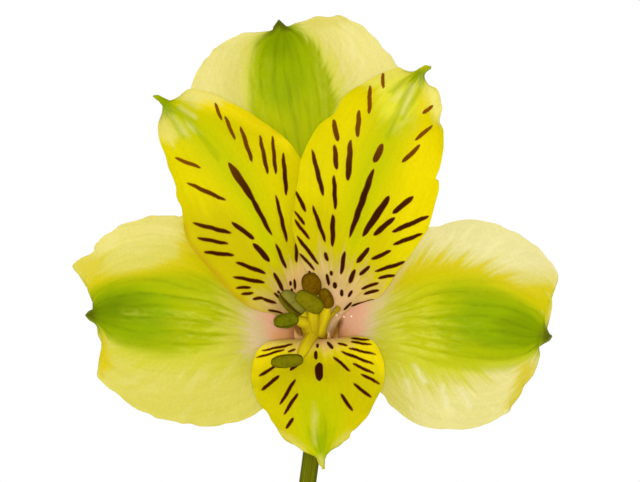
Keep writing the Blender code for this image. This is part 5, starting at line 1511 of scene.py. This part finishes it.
def stem():
    """The stalk from the bottle's floor up to the ovary that it widens into."""
    line, radii, base, facing = stem_path()
    on_part = np.arange(len(line)) >= len(line) - OVARY_STEPS - 1
    along = np.clip(((line - base) @ facing) / OVARY_LENGTH, 0, 1) * on_part
    rings = stem_rings(line, radii, facing, along)
    extra = len(rings) - len(line)
    points, faces = closed_tube(rings)
    run = lengths(line)
    cut = np.append(np.full(STEM_SIDES, CUT_RIM), np.zeros((len(rings) - 1) * STEM_SIDES))
    level = points[:-2, 2] / MM
    numbers = {
        "along": by_ring(np.append(run, [run[-1]] * extra), STEM_SIDES),
        "turn": round_ring(len(rings), STEM_SIDES, STALK_SPAN),
        "cut": np.append(cut, (1.0, 0.0)),
        "nectary": by_ring(np.append(ease(along, NECTARY_FROM, 1.0), [1.0] * extra), STEM_SIDES),
        # Where the brown painted shade of the throat's gaps lies.
        "mark": ease(streak_distance(as_seen(in_bloom(points)), THROAT_GAP_SHADES), *MARK_EDGE),
        "under": np.append(ease(level, WATER_LEVEL + WET_FADE, WATER_LEVEL - WET_FADE), (1.0, 0.0)),
    }
    settle(add_piece("stem_fine", points, faces, stem_material(), numbers), "stem")


# Bottle and water


def arc(centre, radius, start, end, steps):
    """Points (r, z) of a round stretch of a profile, angles in degrees."""
    angles = np.radians(np.linspace(start, end, steps + 1))
    return [(centre[0] + radius * math.cos(a), centre[1] + radius * math.sin(a)) for a in angles]


def shoulder(body, neck, bottom, top, steps=26):
    """Points (r, z) of the sloping stretch between the neck and the body, from the neck down."""
    t = np.linspace(0, 1, steps + 1)
    return list(zip(neck + (body - neck) * t * t * (3 - 2 * t), top + (bottom - top) * t))


def upright(radius, top, bottom, steps):
    """Points (r, z) of a straight wall between two heights, without its ends."""
    return [(radius, z) for z in np.linspace(top, bottom, steps + 2)[1:-1]]


def turned(name, profile, material):
    """A closed body turned about Z from a profile in millimetres that starts and ends on the axis."""
    profile = np.array(profile)
    r, z = profile[1:-1, :1], profile[1:-1, 1:]
    turn = around(TURNED_STEPS)
    rings = np.stack((r * np.cos(turn), r * np.sin(turn), np.repeat(z, TURNED_STEPS, axis=1)), axis=-1)
    points, faces = closed_tube(rings, ((0, 0, profile[0, 1]), (0, 0, profile[-1, 1])))
    return add_piece(name, points * MM, faces, material)


def outer_profile():
    """The bottle's outer profile, from the middle of its dished foot to the rim."""
    lip = LIP_HEIGHT / 2
    line = [(0.0, FOOT_DISH)]
    line += [(DISH_RADIUS * t, FOOT_DISH * (1 - t ** DISH_POWER)) for t in np.linspace(0.1, 1, 10)]
    line += arc((BODY_RADIUS - FOOT_ROUND, FOOT_ROUND), FOOT_ROUND, -90, 0, steps=10)
    line += upright(BODY_RADIUS, FOOT_ROUND, SHOULDER_BOTTOM, steps=8)
    line += reversed(shoulder(BODY_RADIUS, NECK_RADIUS, SHOULDER_BOTTOM, SHOULDER_TOP))
    line += upright(NECK_RADIUS, SHOULDER_TOP, BOTTLE_HEIGHT - LIP_HEIGHT, steps=3)
    return line + arc((LIP_RADIUS - lip, BOTTLE_HEIGHT - lip), lip, -90, 90, steps=18)


def inner_profile():
    """The bottle's inner profile, from the rim to the middle of its floor."""
    body, neck, foot = BODY_RADIUS - WALL, NECK_RADIUS - WALL, FOOT_ROUND - WALL / 2
    top, bottom = SHOULDER_TOP - WALL / 2, SHOULDER_BOTTOM - WALL / 2
    line = arc((neck + MOUTH_ROUND, BOTTLE_HEIGHT - MOUTH_ROUND), MOUTH_ROUND, 90, 180, steps=6)
    line += upright(neck, BOTTLE_HEIGHT - MOUTH_ROUND, top, steps=3)
    line += shoulder(body, neck, bottom, top)
    line += upright(body, bottom, FLOOR + foot, steps=8)
    line += arc((body - foot, FLOOR + foot), foot, 0, -90, steps=8)
    return line + [(0.0, FLOOR)]


def bottle():
    """The glass bottle, hollow, with a rounded lip and a dished foot."""
    settle(turned("bottle_fine", outer_profile() + inner_profile(), glass_material()), "bottle")


def water():
    """The water, which climbs a little where it meets the glass."""
    radius, foot = BODY_RADIUS - WALL - WATER_CLEAR, FOOT_ROUND - WALL / 2
    bottom = FLOOR + WATER_CLEAR
    profile = [(0.0, bottom)] + arc((radius - foot, bottom + foot), foot, -90, 0, steps=8)
    profile += upright(radius, bottom + foot, WATER_LEVEL, steps=6)
    profile += [(radius - r, WATER_LEVEL + MENISCUS * math.exp(-r / MENISCUS_REACH))
                for r in MENISCUS_STEPS]
    profile += [(radius * MIDDLE_RING, WATER_LEVEL), (0.0, WATER_LEVEL)]
    settle(turned("water_fine", profile, water_material()), "water")


# Scene


def lamp(name, kind, place, aim, watts, **settings):
    """A lamp that looks from its place at its aim."""
    data = bpy.data.lights.new(name, kind)
    for key, value in {"energy": watts, **settings}.items():
        setattr(data, key, value)
    thing = add_object(name, data)
    thing.location = place
    thing.rotation_euler = (Vector(aim) - Vector(place)).to_track_quat("-Z", "Y").to_euler()


def surroundings():
    """A white backdrop and an even, slightly weaker light from all around."""
    world = bpy.data.worlds.new("white studio")
    world.use_nodes = True
    tree = world.node_tree
    tree.nodes.clear()
    both = tree.nodes.new("ShaderNodeMixShader")
    tree.links.new(tree.nodes.new("ShaderNodeLightPath").outputs["Is Camera Ray"], both.inputs[0])
    for socket, strength in ((both.inputs[1], AMBIENT), (both.inputs[2], 1.0)):
        node = tree.nodes.new("ShaderNodeBackground")
        node.inputs["Color"].default_value = WHITE
        node.inputs["Strength"].default_value = strength
        tree.links.new(node.outputs[0], socket)
    tree.links.new(both.outputs[0], tree.nodes.new("ShaderNodeOutputWorld").inputs["Surface"])
    bpy.context.scene.world = world


def floor():
    """A round pale floor under the bottle."""
    points = [(FLOOR_RADIUS * math.cos(a), FLOOR_RADIUS * math.sin(a), 0.0) for a in around(FLOOR_SIDES)]
    disc = add_piece("floor", points, [list(range(FLOOR_SIDES))], floor_material())


def camera():
    """Level with the bloom, from the photograph's side, at a portrait lens's distance."""
    data = bpy.data.cameras.new("camera")
    data.sensor_fit = "HORIZONTAL"
    data.sensor_width = SENSOR
    data.lens = LENS
    eye = add_object("camera", data)
    eye.location = in_world((*VIEW_MIDDLE, SIGHT))[0]
    eye.rotation_euler = (math.radians(90), 0.0, 0.0)
    bpy.context.scene.camera = eye


def studio():
    """Backdrop, floor, three soft lamps and the beams into the throat."""
    surroundings()
    floor()
    for name, (place, aim, size, watts) in LAMPS.items():
        lamp(name, "AREA", place, aim, watts, shape="DISK", size=size)
    for place, watts in SNOOTS:
        lamp("snoot", "SPOT", place, THROAT, watts, spot_size=SNOOT_SPREAD, spot_blend=1.0,
             shadow_soft_size=SNOOT_RADIUS)
    bpy.context.scene.view_settings.view_transform = "Standard"


def main():
    """The whole scene."""
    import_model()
    camera()
    studio()
    blades = petals()
    stamens()
    style()
    nectar(blades)
    stem()
    bottle()
    water()


main()
